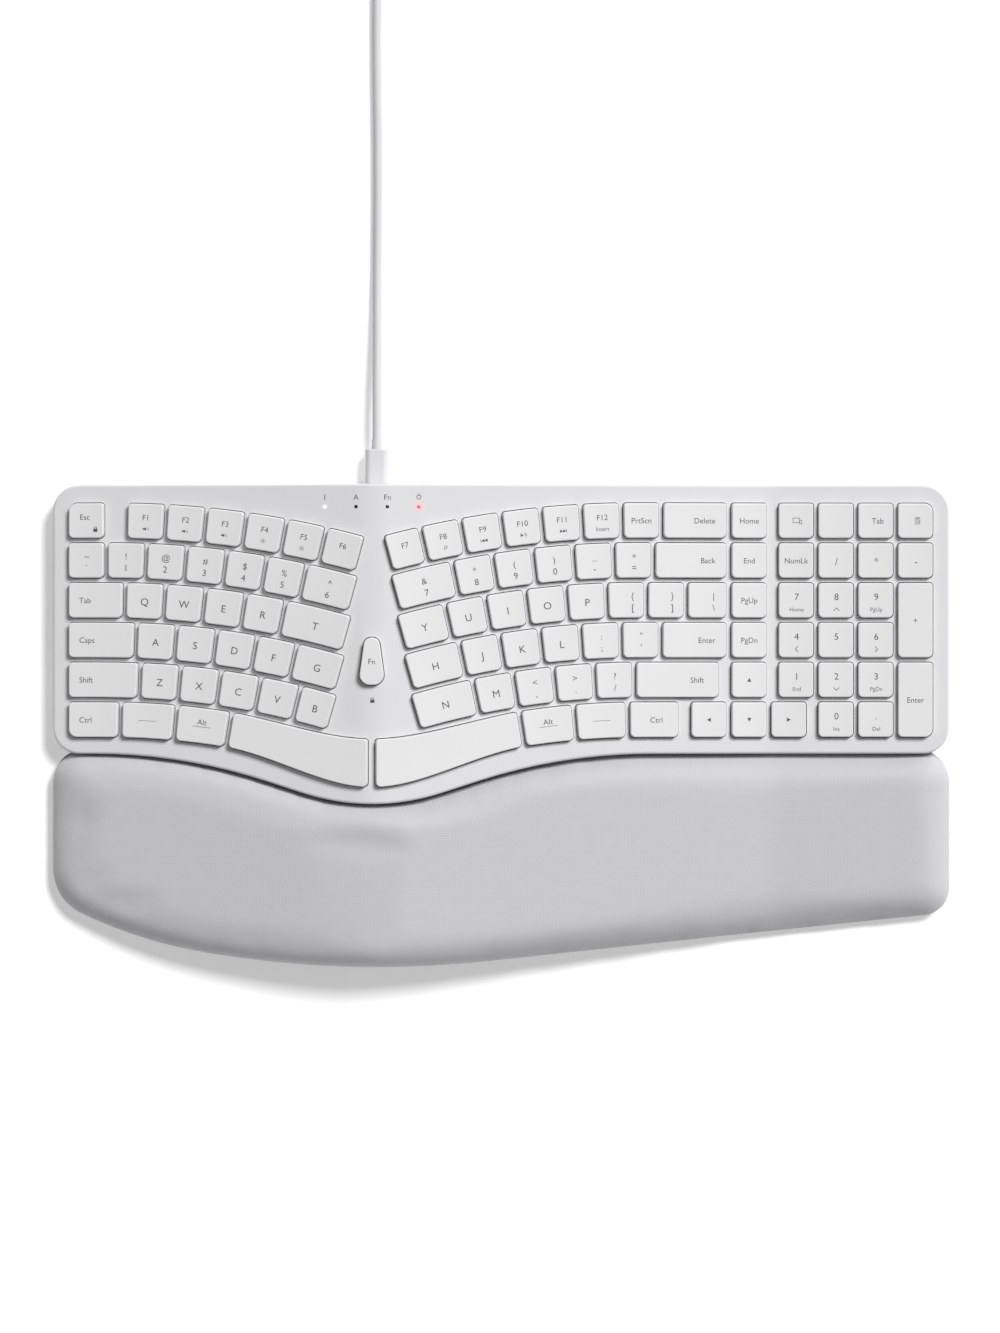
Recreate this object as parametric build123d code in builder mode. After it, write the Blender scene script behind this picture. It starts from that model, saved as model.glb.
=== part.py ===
from build123d import *
import os
from math import asin, atan, atan2, cos, degrees, pi, radians, sin, sqrt, tan

# Ergonomic split keyboard with a cushioned palm rest, in millimetres.
# X runs to the right, Y to the rear and Z up. The origin lies under the middle of the
# keyboard, on the surface that it stands on. The lead is not counted in that middle.

os.makedirs("parts", exist_ok=True)

# Overall size, and the keyboard case within it
WIDTH = 428.5
DEPTH = 229.6
CASE_DEPTH = 128.5
CASE_CORNER_RADIUS = 12.5
SIDE_X = WIDTH / 2
REAR_Y = DEPTH / 2
CASE_FRONT_Y = REAR_Y - CASE_DEPTH

# Section of the arched deck: it rises to a ridge between the hands and runs flat under the
# number pad
DECK_EDGE_HEIGHT = 12.5
RIDGE_RISE = 21.5
RIDGE_FROM_LEFT = 152.75
FLAT_ZONE_WIDTH = 84.75
RIDGE_RADIUS = 60.0
VALLEY_RADIUS = 80.0
RIDGE_X = RIDGE_FROM_LEFT - SIDE_X
FLAT_START_X = SIDE_X - FLAT_ZONE_WIDTH
LEFT_TILT = atan(RIDGE_RISE / RIDGE_FROM_LEFT)
RIGHT_TILT = -atan(RIDGE_RISE / (FLAT_START_X - RIDGE_X))

# Wave in the line between case and palm rest
WAVE_SHOULDER_RADIUS = 268.0
WAVE_VALLEY_RADIUS = 108.0
WAVE_STRAIGHT = 18.6
WAVE_SLOPE = 17.8
PALM_GAP = 0.6

# Palm rest
PALM_LOW_FROM_LEFT = 154.5
PALM_LEFT_RADIUS = 500.0
PALM_LEFT_SWEEP = 9.6
PALM_SHOULDER_RADIUS = 222.0
PALM_SHOULDER_SWEEP = 15.4
PALM_RIGHT_RADIUS = 535.0
PALM_RIGHT_SWEEP = 5.9
PALM_FRONT_CORNER = 23.0
PALM_CORNER_RADIUS = 12.5
PALM_RISE = 3.0
PALM_EDGE_RADIUS = 6.5
PALM_PAD_DEPTH = 6.0
PALM_COVER_THICKNESS = 1.0
PALM_FIT = 0.1
PALM_SKIRT_HEIGHT = 5.0
TRAY_WALL = 2.0
TRAY_TOP = 1.6

# Case walls
WALL = 2.0
DECK_THICKNESS = 1.7
CASE_EDGE_RADIUS = 1.2
PARTING_HEIGHT = 4.0
FOOT_HEIGHT = 1.6
FLOOR_THICKNESS = 2.0
FLOOR_EDGE_STEP = 0.8
FLOOR_TOP = FOOT_HEIGHT + FLOOR_THICKNESS
OVERRUN = 1.0

# Keys. Heights are measured square to the deck, from its top face.
KEY_PITCH = 19.0
KEY_WEB = 1.5
KEY_CLEARANCE = 0.35
KEY_TOP = 3.0
KEY_SKIRT = 0.5
KEY_TOP_THICKNESS = 1.2
KEY_WALL = 1.0
KEY_TAPER = 3.3
KEY_EDGE_RADIUS = 0.5
KEY_DISH = 0.25
KEY_TRAVEL = 1.8
KEY_FRONT_CORNER = 2.4
KEY_REAR_CORNER = 1.5
KEY_OUTER_CORNER = 4.0
LEAST_BOW = 0.05
OUTER_CORNER_REACH = 22.0
KEY_CEILING = KEY_TOP - KEY_TOP_THICKNESS
KEY_INSET = KEY_WEB / 2 + KEY_CLEARANCE

# Key blocks: where each begins, and how its rows bend
FIRST_ROW_FROM_REAR = 17.2
ROW_BEND_RADIUS = 456.0
LEFT_MARGIN = 6.95
LEFT_STRAIGHT = 19.6
MAIN_RIGHT_MARGIN = 105.95
RIGHT_STRAIGHT = 42.7
NAVIGATION_MARGIN = 105.65
PAD_MARGIN = 82.95
RIGHT_ARROW_MARGIN = 86.45
FIRST_ROW_Y = REAR_Y - FIRST_ROW_FROM_REAR

# Space keys and the small key between the halves
SPACE_SPLIT = 1.2
SPACE_FRONT_MARGIN = 7.0
SPACE_END_DEPTH = 25.1
FN_FROM_REAR = 84.35
FN_DEPTH = 24.9
FN_REAR_WIDTH = 9.1
FN_FRONT_WIDTH = 15.4
FN_FRONT_CORNER = 5.0
FN_REAR_CORNER = 3.6

# Key mechanism under each cap
SCISSOR_LENGTH = 12.5
SCISSOR_WIDTH = 12.6
SCISSOR_BAR = 1.2
SCISSOR_THICKNESS = 0.7
SCISSOR_GAP = 0.4
SCISSOR_MIDDLE = 1.05
SCISSOR_LIFT = 3.2
SCISSOR_PIN_RADIUS = 0.3
SCISSOR_PIN_GAP = 0.1
DOME_FLANGE_RADIUS = 3.7
DOME_FLANGE = 0.35
DOME_FOOT_RADIUS = 3.2
DOME_TOP_RADIUS = 2.2
DOME_WALL = 0.45
DOME_HEIGHT = 3.2
DOME_ROOF = 0.8
BOSS_RADIUS = 1.9
BOSS_GAP = 0.1
CLIP_X = 2.2
CLIP_Y = 4.35
CLIP_WIDTH = 2.0
CLIP_THICKNESS = 0.7
CLIP_BOTTOM = 0.1
STABILIZER_WIRE = 0.8
STABILIZER_OFFSET = 6.9
STABILIZER_REACH = 5.6
STABILIZER_TOP = 0.5
STABILIZER_FOOT = 2.5
STABILIZER_BEND = 1.0
STABILIZER_END_MARGIN = 5.0
STABILIZER_LONGEST = 28.0
STABILIZED_WIDTH = 30.0

# Plate and membrane under the mechanism
SHOULDER_DEPTH = 3.1
MEMBRANE_THICKNESS = 0.3
PLATE_THICKNESS = 0.6
WELL_MARGIN = 7.1
WELL_REAR_MARGIN = 8.0
PLATE_LAP = 1.5
TAB_WIDTH = 4.0
TAB_THICKNESS = 0.6
TAB_HEIGHT = 1.2
TAB_OFFSET = 6.85
TAB_CLEARANCE = 0.2
MEMBRANE_BOTTOM = SHOULDER_DEPTH + MEMBRANE_THICKNESS
PLATE_BOTTOM = MEMBRANE_BOTTOM + PLATE_THICKNESS

# Screws and the posts that take them
POST_RADIUS = 2.0
POST_INSET = 3.5
PALM_POST_RADIUS = 3.0
STANDOFF_RADIUS = 3.2
SCREW_HEAD_RADIUS = 2.2
SCREW_HEAD_HEIGHT = 1.1
SCREW_SHANK_RADIUS = 0.95
SCREW_PILOT_RADIUS = 1.0
SCREW_SINK = 1.2
SCREW_LENGTH = 7.5
PALM_SCREW_LENGTH = 3.2
SCREW_CLEARANCE = 0.2
SCREW_SLOT_WIDTH = 0.7
SCREW_SLOT_DEPTH = 0.5

# Electronics
BOARD_WIDTH = 86.0
BOARD_DEPTH = 28.0
BOARD_THICKNESS = 1.2
BOARD_HEIGHT = 5.2
BOARD_REAR_GAP = 0.6
BOARD_STANDOFF_RADIUS = 2.5
BOARD_STANDOFF_INSET = 3.5
BATTERY_WIDTH = 60.0
BATTERY_DEPTH = 42.0
BATTERY_THICKNESS = 5.0
BATTERY_CORNER = 2.0
BATTERY_GAP = 6.0
RIBBON_WIDTH = 18.0
RIBBON_THICKNESS = 0.3
RIBBON_SLOT_CLEARANCE = 1.0
RIBBON_CONNECTOR_DEPTH = 4.0
RIBBON_CONNECTOR_HEIGHT = 1.8
RIBBON_CONNECTOR_LIP = 1.5
RIBBON_FROM_REAR = 26.7
RIBBON_OFFSET = 30.0
LIGHT_RADIUS = 0.8
LIGHT_CLEARANCE = 0.05
LIGHT_HOLE_CLEARANCE = 0.5
LIGHT_BASE_RADIUS = 1.6
LIGHT_BASE_HEIGHT = 1.0
LIGHT_PITCH = 14.9
LIGHT_FROM_REAR = 10.9
LIGHT_COUNT = 4
CHIP_SHARES = [
    ((-0.28, -0.18), (0.1, 0.3), 1.0),
    ((-0.05, -0.2), (0.06, 0.18), 0.8),
    ((-0.42, 0.2), (0.05, 0.12), 1.4),
]
BOARD_TOP = BOARD_HEIGHT + BOARD_THICKNESS

# Charging socket, lead and plugs
SOCKET_WIDTH = 8.94
SOCKET_HEIGHT = 3.2
SOCKET_LENGTH = 7.3
SOCKET_SHEET = 0.22
SOCKET_BACK = 1.2
TONGUE_WIDTH = 6.2
TONGUE_THICKNESS = 0.7
TONGUE_LENGTH = 4.4
PORT_CLEARANCE = 0.5
CHARGE_SHELL_WIDTH = 8.25
CHARGE_SHELL_HEIGHT = 2.4
CHARGE_SHELL_LENGTH = 8.0
CHARGE_SHELL_SHEET = 0.3
CHARGE_SHELL_CORNER = 1.15
CHARGE_MOULD_WIDTH = 11.0
CHARGE_MOULD_HEIGHT = 6.6
CHARGE_MOULD_LENGTH = 17.0
CHARGE_MOULD_GAP = 0.2
CHARGE_MOULD_CORNER = 2.6
CHARGE_MOULD_EDGE = 0.8
RELIEF_RADIUS = 2.5
RELIEF_LENGTH = 4.6
CABLE_DIAMETER = 4.4
HOST_MOULD_WIDTH = 15.6
HOST_MOULD_HEIGHT = 8.0
HOST_MOULD_LENGTH = 24.0
HOST_SHELL_WIDTH = 12.0
HOST_SHELL_HEIGHT = 4.5
HOST_SHELL_LENGTH = 12.0
HOST_SHELL_SHEET = 0.3
HOST_CORE_HEIGHT = 1.9
SOCKET_X = -59.5
CABLE_RADIUS = CABLE_DIAMETER / 2
SOCKET_HEIGHT_Z = BOARD_TOP + SOCKET_HEIGHT / 2

# Put-away coil of the lead
COIL_OUTER_RADIUS = 35.2
COIL_PITCH = 4.85
COIL_LAYER = 4.85
COIL_CLIMB_STEP = 0.8
COIL_INWARD_HALF_TURNS = 8
COIL_OUTWARD_HALF_TURNS = 7
GAP_STEPS = 24

# Free stretches of the lead: sideways, rearward and height of each point, from the plug
CABLE_ROUTE = [
    (0.0, 0.0, 8.0),
    (0.0, 20.0, 8.0),
    (0.1, 45.6, 5.0),
    (0.0, 78.0, 2.2),
    (0.5, 131.0, 2.2),
    (-0.4, 191.0, 2.2),
    (0.0, 227.0, 2.2),
    (0.0, 249.0, 2.2),
]
TAIL_ROUTE = [
    (0.0, 0.0, 7.05),
    (0.0, 13.0, 7.05),
    (0.0, 31.0, 4.0),
    (0.0, 43.0, 4.0),
]

BEND_SHARE = 0.45

# Power switch under the board
SLIDER_LENGTH = 4.0
SLIDER_WIDTH = 2.6
SLIDER_RECESS = 0.5
SLIDER_CLEARANCE = 0.3
SLIDER_TRAVEL = 2.5
SLIDER_GRIP = 0.4
SWITCH_LENGTH = 9.0
SWITCH_WIDTH = 4.0
SWITCH_THICKNESS = 1.0
SWITCH_OFFSET = 28.0
SWITCH_FROM_REAR = 19.0
SWITCH_GAP = 0.1

# Feet and tilt legs
FOOT_LENGTH = 30.0
FOOT_WIDTH = 9.0
FOOT_SINK = 0.4
FOOT_CORNER = 4.4
LEG_WIDTH = 24.0
LEG_REACH = 15.0
LEG_THICKNESS = 2.4
LEG_KNUCKLE_RADIUS = 1.5
LEG_TIP_CORNER = 3.0
LEG_PIN_RADIUS = 0.9
LEG_PIN_LENGTH = 1.4
LEG_PIN_CLEARANCE = 0.12
LEG_POCKET_CLEARANCE = 0.4
LEG_POCKET_WALL = 2.0
LEG_HINGE_HEIGHT = 3.5
LEG_FROM_REAR = 15.5
LEG_FROM_SIDE = 62.0
LEG_TOE = 1.2


def unit_normal(tilt):
    """Upward normal, in the section, of a line that rises to the right by the angle tilt."""
    return (-sin(tilt), cos(tilt))


def arch_corner(x, z, normal_before, normal_after, offset_height):
    """Corner of the deck line moved square to itself by offset_height."""
    dot = normal_before[0] * normal_after[0] + normal_before[1] * normal_after[1]
    scale = offset_height / (1 + dot)
    sum_x = normal_before[0] + normal_after[0]
    sum_z = normal_before[1] + normal_after[1]
    return (x + scale * sum_x, z + scale * sum_z)


LEFT_NORMAL = unit_normal(LEFT_TILT)
RIGHT_NORMAL = unit_normal(RIGHT_TILT)
PAD_NORMAL = unit_normal(0)
RIDGE_HEIGHT = DECK_EDGE_HEIGHT + RIDGE_RISE
CROWN_HEIGHT = arch_corner(RIDGE_X, RIDGE_HEIGHT, LEFT_NORMAL, RIGHT_NORMAL, -RIDGE_RADIUS)[1] + RIDGE_RADIUS


def arch_section(offset_height, floor_height):
    """Everything in the section between floor_height and the deck line moved by offset_height."""
    reach = SIDE_X + WALL
    ridge = arch_corner(RIDGE_X, RIDGE_HEIGHT, LEFT_NORMAL, RIGHT_NORMAL, offset_height)
    valley = arch_corner(FLAT_START_X, DECK_EDGE_HEIGHT, RIGHT_NORMAL, PAD_NORMAL, offset_height)
    left_height = ridge[1] - (ridge[0] + reach) * tan(LEFT_TILT)
    with BuildSketch(Plane.XZ) as section:
        with BuildLine():
            Polyline(
                (-reach, left_height),
                ridge,
                valley,
                (reach, valley[1]),
                (reach, floor_height),
                (-reach, floor_height),
                close=True,
            )
        make_face()
        fillet(section.vertices().sort_by(Axis.Y)[-1], RIDGE_RADIUS + offset_height)
        fillet(nearest_vertex(section.vertices(), valley), VALLEY_RADIUS - offset_height)
    return section.sketch


def nearest_vertex(vertices, point):
    """The vertex closest to a point of the sketch."""
    return vertices.sort_by_distance(Vector(point[0], point[1], 0))[0]


def keep_below_deck(offset_height, floor_height):
    """Inside a part block: keep what lies between floor_height and the moved deck line."""
    extrude(arch_section(offset_height, floor_height), amount=DEPTH, both=True, mode=Mode.INTERSECT)


def wave_edges(shift):
    """Wave of the case's front edge, moved square to itself towards the rear by shift."""
    shoulder = WAVE_SHOULDER_RADIUS + shift
    valley = WAVE_VALLEY_RADIUS - shift
    slope = radians(WAVE_SLOPE)
    half_run = (shoulder + valley) * sin(slope) + WAVE_STRAIGHT * cos(slope)
    start = (RIDGE_X - half_run, CASE_FRONT_Y + shift)
    fall = JernArc(start, (1, 0), shoulder, -WAVE_SLOPE)
    down = Line(fall @ 1, fall @ 1 + (fall % 1) * WAVE_STRAIGHT)
    bulge = JernArc(down @ 1, down % 1, valley, 2 * WAVE_SLOPE)
    up = Line(bulge @ 1, bulge @ 1 + (bulge % 1) * WAVE_STRAIGHT)
    rise = JernArc(up @ 1, up % 1, shoulder, -WAVE_SLOPE)
    return start, rise @ 1


def wave_low_y():
    """Y of the lowest point of the case's front edge."""
    slope = radians(WAVE_SLOPE)
    radii = WAVE_SHOULDER_RADIUS + WAVE_VALLEY_RADIUS
    return CASE_FRONT_Y - radii * (1 - cos(slope)) - WAVE_STRAIGHT * sin(slope)


def case_outline(side_inset, rear_inset, front_inset, height):
    """Plan of the keyboard case, drawn in by the insets, at a height."""
    left = side_inset - SIDE_X
    right = SIDE_X - side_inset
    rear = REAR_Y - rear_inset
    front = CASE_FRONT_Y + front_inset
    with BuildSketch(Plane.XY.offset(height)) as plan:
        with BuildLine():
            start, end = wave_edges(front_inset)
            Polyline(start, (left, front), (left, rear), (right, rear), (right, front), end)
        make_face()
        corners = [(left, front), (left, rear), (right, rear), (right, front)]
        radius = CASE_CORNER_RADIUS - min(side_inset, rear_inset, front_inset)
        for corner in corners:
            fillet(nearest_vertex(plan.vertices(), corner), radius)
    return plan.sketch


def palm_outline(inset, gap, height):
    """Plan of the palm rest, drawn in by inset, with its rear edge gap in front of the case."""
    left = inset - SIDE_X
    right = SIDE_X - inset
    shift = -gap - inset
    rear = CASE_FRONT_Y + shift
    low_x = PALM_LOW_FROM_LEFT - SIDE_X
    with BuildSketch(Plane.XY.offset(height)) as plan:
        with BuildLine():
            low = (low_x, inset - REAR_Y)
            sweep_left = JernArc(low, (-1, 0), PALM_LEFT_RADIUS - inset, -PALM_LEFT_SWEEP)
            shoulder = JernArc(
                sweep_left @ 1,
                sweep_left % 1,
                PALM_SHOULDER_RADIUS - inset,
                -PALM_SHOULDER_SWEEP,
            )
            shoulder_end = shoulder @ 1
            slope_left = radians(PALM_LEFT_SWEEP + PALM_SHOULDER_SWEEP)
            left_front = (left, shoulder_end.Y + (shoulder_end.X - left) * tan(slope_left))
            sweep_right = JernArc(low, (1, 0), PALM_RIGHT_RADIUS - inset, PALM_RIGHT_SWEEP)
            right_end = sweep_right @ 1
            right_rise = (right - right_end.X) * tan(radians(PALM_RIGHT_SWEEP))
            right_front = (right, right_end.Y + right_rise)
            start, end = wave_edges(shift)
            Polyline(shoulder_end, left_front, (left, rear), start)
            Polyline(right_end, right_front, (right, rear), end)
        make_face()
        fillet(nearest_vertex(plan.vertices(), left_front), PALM_FRONT_CORNER - inset)
        for corner in (right_front, (left, rear), (right, rear)):
            fillet(nearest_vertex(plan.vertices(), corner), PALM_CORNER_RADIUS - inset)
    return plan.sketch


def rim_edges(part):
    """Edges where the arched top of a part meets its upright sides."""
    tops = [face for face in part.faces() if face.normal_at(face.center()).Z > 0.5]
    sides = [face for face in part.faces() if abs(face.normal_at(face.center()).Z) < 0.1]
    side_edges = ShapeList(edge for face in sides for edge in face.edges())
    top_edges = ShapeList(edge for face in tops for edge in face.edges())
    return ShapeList(edge for edge in top_edges if any(edge.is_same(other) for other in side_edges))


# Planes of the deck
LEFT_PLANE = Plane(
    origin=(-SIDE_X, 0, DECK_EDGE_HEIGHT),
    x_dir=(cos(LEFT_TILT), 0, sin(LEFT_TILT)),
    z_dir=(LEFT_NORMAL[0], 0, LEFT_NORMAL[1]),
)
RIGHT_PLANE = Plane(
    origin=(FLAT_START_X, 0, DECK_EDGE_HEIGHT),
    x_dir=(cos(RIGHT_TILT), 0, sin(RIGHT_TILT)),
    z_dir=(RIGHT_NORMAL[0], 0, RIGHT_NORMAL[1]),
)
PAD_PLANE = Plane(origin=(SIDE_X, 0, DECK_EDGE_HEIGHT), x_dir=(1, 0, 0), z_dir=(0, 0, 1))
CROWN_PLANE = Plane(origin=(RIDGE_X, 0, CROWN_HEIGHT), x_dir=(1, 0, 0), z_dir=(0, 0, 1))

# Each block of keys: the X of its outer end, which way it runs, its straight run and its plane
BLOCKS = {
    "left": (LEFT_MARGIN - SIDE_X, 1, LEFT_STRAIGHT, LEFT_PLANE),
    "right": (SIDE_X - MAIN_RIGHT_MARGIN, -1, RIGHT_STRAIGHT, RIGHT_PLANE),
    "navigation": (SIDE_X - NAVIGATION_MARGIN, 1, WIDTH, RIGHT_PLANE),
    "pad": (SIDE_X - PAD_MARGIN, 1, WIDTH, PAD_PLANE),
    "right_arrow": (SIDE_X - RIGHT_ARROW_MARGIN, 1, WIDTH, PAD_PLANE),
}

# Keys of each row, from the block's outer end inwards: the node and the widths of its keys
# as shares of the pitch. A None leaves a gap.
ROW_SHARES = [
    ("left", 0, [("escape_key", [1]), (None, [0.5]), ("function_keys_left", [1] * 6)]),
    ("left", 1, [("number_keys_left", [1] * 6 + [1.33])]),
    ("left", 2, [("tab_key", [1.47]), ("upper_letter_keys_left", [1] * 4 + [1.7])]),
    ("left", 3, [("caps_lock_key", [1.75]), ("home_letter_keys_left", [1] * 4 + [1.25])]),
    ("left", 4, [("left_shift_key", [1.85]), ("lower_letter_keys_left", [1] * 4 + [0.95])]),
    ("left", 5, [("left_control_key", [1.36]), ("left_modifier_key", [1.39]), ("left_alt_key", [1.36])]),
    ("right", 0, [("delete_key", [1.7]), ("function_keys_right", [1] * 6 + [0.95])]),
    ("right", 1, [("backspace_key", [1.9]), ("number_keys_right", [1] * 5 + [1.57])]),
    ("right", 2, [("upper_letter_keys_right", [1.08] + [1] * 6 + [1.24])]),
    ("right", 3, [("enter_key", [1.72]), ("home_letter_keys_right", [1] * 5 + [1.42])]),
    (
        "right",
        4,
        [(None, [0.19]), ("right_shift_key", [2.19]), ("lower_letter_keys_right", [1] * 4 + [1.59])],
    ),
    (
        "right",
        5,
        [
            ("arrow_keys", [1]),
            (None, [0.21]),
            ("right_control_key", [1.33]),
            ("right_modifier_key", [1.33]),
            ("right_alt_key", [1.34]),
        ],
    ),
    ("pad", 0, [("number_pad_keys", [1] * 4)]),
    ("pad", 1, [("number_pad_keys", [1] * 4)]),
    ("pad", 2, [("number_pad_keys", [1] * 3)]),
    ("pad", 3, [("number_pad_keys", [1] * 3)]),
    ("pad", 4, [("number_pad_keys", [1] * 3)]),
    ("pad", 5, [(None, [1]), ("number_pad_keys", [1] * 2)]),
    ("right_arrow", 5, [("right_arrow_key", [1])]),
]
ROW_SHARES += [("navigation", row, [("navigation_keys", [1])]) for row in range(4)]
ROW_SHARES += [("navigation", row, [("arrow_keys", [1])]) for row in (4, 5)]
TALL_KEYS = [("number_pad_plus_key", 2), ("number_pad_enter_key", 4)]
LEFT_SPACE_START_SHARE = 4.11
RIGHT_SPACE_START_SHARE = 5.21


def lift(flank, x, y):
    """Point of a deck plane over a place in plan."""
    slope = flank.x_dir.Z / flank.x_dir.X
    return Vector(x, y, flank.origin.Z + (x - flank.origin.X) * slope)


def row_angle(block, row, along):
    """Angle by which a row has turned at a distance along it, and its radius there."""
    radius = ROW_BEND_RADIUS - KEY_PITCH * row
    return max(0.0, along - BLOCKS[block][2]) / radius, radius


def deck_point(block, row, along, rise):
    """Deck point at a distance along a row and rise behind its middle line."""
    outer_x, sign, straight, flank = BLOCKS[block]
    angle, radius = row_angle(block, row, along)
    inward = min(along, straight) + (radius + rise) * sin(angle)
    middle_y = FIRST_ROW_Y - KEY_PITCH * row
    y = middle_y + rise - (radius + rise) * (1 - cos(angle))
    return lift(flank, outer_x + sign * inward, y)


class Key:
    """One key: its node, its own plane on the deck and the outline of its place."""

    def __init__(self, node, block, row, start, width, rows=1):
        sign = BLOCKS[block][1]
        self.node = node
        self.block = block
        self.rows = (row, row + rows - 1)
        self.ends = (start, start + width) if sign > 0 else (start + width, start)
        self.sign = sign
        self.width = width
        middle = deck_point(block, (row + self.rows[1]) / 2, start + width / 2, 0)
        front = self.edge(0, 0)
        self.plane = Plane(
            origin=middle, x_dir=front[2] - front[0], z_dir=BLOCKS[block][3].z_dir
        )

    def edge(self, which, inset):
        """Left end, middle and right end of the front (0) or rear (1) edge, drawn in by inset."""
        left = self.ends[0] + self.sign * inset
        right = self.ends[1] - self.sign * inset
        row = self.rows[1 - which]
        rise = (2 * which - 1) * (KEY_PITCH / 2 - inset)
        alongs = (left, (left + right) / 2, right)
        return [deck_point(self.block, row, along, rise) for along in alongs]

    def draw(self, inset):
        """Draw the outline in the plane of the key, and return its four corners."""
        front = [self.plane.to_local_coords(point) for point in self.edge(0, inset)]
        rear = [self.plane.to_local_coords(point) for point in self.edge(1, inset)]
        for start, middle, end in (front, rear):
            bow = middle - (start + end) / 2
            if bow.length > LEAST_BOW:
                ThreePointArc(start, middle, end)
            else:
                Line(start, end)
        Line(front[0], rear[0])
        Line(front[2], rear[2])
        return front[0], front[2], rear[2], rear[0]


class SpaceKey(Key):
    """A space key: from its row's divider to the split, between two gentle S curves."""

    def __init__(self, node, block, start):
        self.node = node
        self.block = block
        self.rows = (5, 5)
        self.sign = BLOCKS[block][1]
        self.start = start
        outer = deck_point(block, 5, start, 0)
        flank = BLOCKS[block][3]
        self.split_x = RIDGE_X - self.sign * SPACE_SPLIT / 2
        self.split_front = wave_low_y() + SPACE_FRONT_MARGIN
        self.split_rear = self.split_front + SPACE_END_DEPTH
        split = lift(flank, self.split_x, (self.split_front + self.split_rear) / 2)
        self.width = (split - outer).length
        self.plane = Plane(
            origin=(outer + split) / 2,
            x_dir=(split - outer) * self.sign,
            z_dir=flank.z_dir,
        )

    def s_curve(self, which, inset):
        """Spline along the front (0) or rear (1) edge from left to right, and its two ends."""
        flank = BLOCKS[self.block][3]
        rise = (2 * which - 1) * (KEY_PITCH / 2 - inset)
        outer = deck_point(self.block, 5, self.start + inset, rise)
        ahead = deck_point(self.block, 5, self.start + inset + KEY_PITCH, rise)
        split_y = (self.split_front + inset, self.split_rear - inset)[which]
        split = lift(flank, self.split_x - self.sign * inset, split_y)
        start_dir = self.plane.to_local_coords(ahead) - self.plane.to_local_coords(outer)
        level = lift(flank, split.X + self.sign * KEY_PITCH, split_y)
        end_dir = self.plane.to_local_coords(level) - self.plane.to_local_coords(split)
        start = self.plane.to_local_coords(outer)
        end = self.plane.to_local_coords(split)
        if self.sign < 0:
            start, end = end, start
            start_dir, end_dir = end_dir * -1, start_dir * -1
        Spline(start, end, tangents=(start_dir.normalized(), end_dir.normalized()))
        return start, end

    def draw(self, inset):
        """Draw the outline in the plane of the key, and return its four corners."""
        front = self.s_curve(0, inset)
        rear = self.s_curve(1, inset)
        Line(front[0], rear[0])
        Line(front[1], rear[1])
        return front[0], front[1], rear[1], rear[0]


class FnKey(Key):
    """The small key on the crown: narrow at the rear and wide at the front."""

    def __init__(self):
        self.node = "fn_key"
        self.width = FN_FRONT_WIDTH
        self.rows = (2, 3)
        self.plane = Plane(
            origin=(RIDGE_X, REAR_Y - FN_FROM_REAR, CROWN_HEIGHT), x_dir=(1, 0, 0), z_dir=(0, 0, 1)
        )

    def draw(self, inset):
        """Draw the outline in the plane of the key, and return its four corners."""
        half_depth = FN_DEPTH / 2 - inset
        front = FN_FRONT_WIDTH / 2 - inset
        rear = FN_REAR_WIDTH / 2 - inset
        corners = ((-front, -half_depth), (front, -half_depth), (rear, half_depth), (-rear, half_depth))
        Polyline(*corners, close=True)
        return [Vector(*corner) for corner in corners]


def all_keys():
    """Every key of the board."""
    keys = []
    for block, row, nodes in ROW_SHARES:
        start = 0.0
        for node, width_shares in nodes:
            for share in width_shares:
                if node:
                    keys.append(Key(node, block, row, start, share * KEY_PITCH))
                start += share * KEY_PITCH
    for node, row in TALL_KEYS:
        keys.append(Key(node, "pad", row, 3 * KEY_PITCH, KEY_PITCH, rows=2))
    keys.append(SpaceKey("left_space_key", "left", LEFT_SPACE_START_SHARE * KEY_PITCH))
    keys.append(SpaceKey("right_space_key", "right", RIGHT_SPACE_START_SHARE * KEY_PITCH))
    keys.append(FnKey())
    return keys


KEYS = all_keys()


def corner_radius(key, corner, is_front):
    """Radius of a corner of a key: large at the board's own corners, small at the rear."""
    if isinstance(key, FnKey):
        return FN_FRONT_CORNER if is_front else FN_REAR_CORNER
    place = key.plane.from_local_coords(corner)
    near_side = abs(place.X) > SIDE_X - OUTER_CORNER_REACH
    near_rear = place.Y > REAR_Y - OUTER_CORNER_REACH
    near_front = place.Y < CASE_FRONT_Y + OUTER_CORNER_REACH / 2
    outward = abs(place.X) > abs(key.plane.origin.X)
    if near_side and outward and (near_rear and not is_front or near_front and is_front):
        return KEY_OUTER_CORNER
    return KEY_FRONT_CORNER if is_front else KEY_REAR_CORNER


def key_face(key, inset, height):
    """Outline of a key's place, drawn in by inset, at a height over the deck."""
    with BuildSketch(key.plane.offset(height)) as face:
        with BuildLine():
            corners = key.draw(inset)
        make_face()
        for number, corner in enumerate(corners):
            radius = corner_radius(key, corner, number < 2) + (KEY_INSET - inset)
            fillet(nearest_vertex(face.vertices(), (corner.X, corner.Y)), radius)
    return face.sketch


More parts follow.
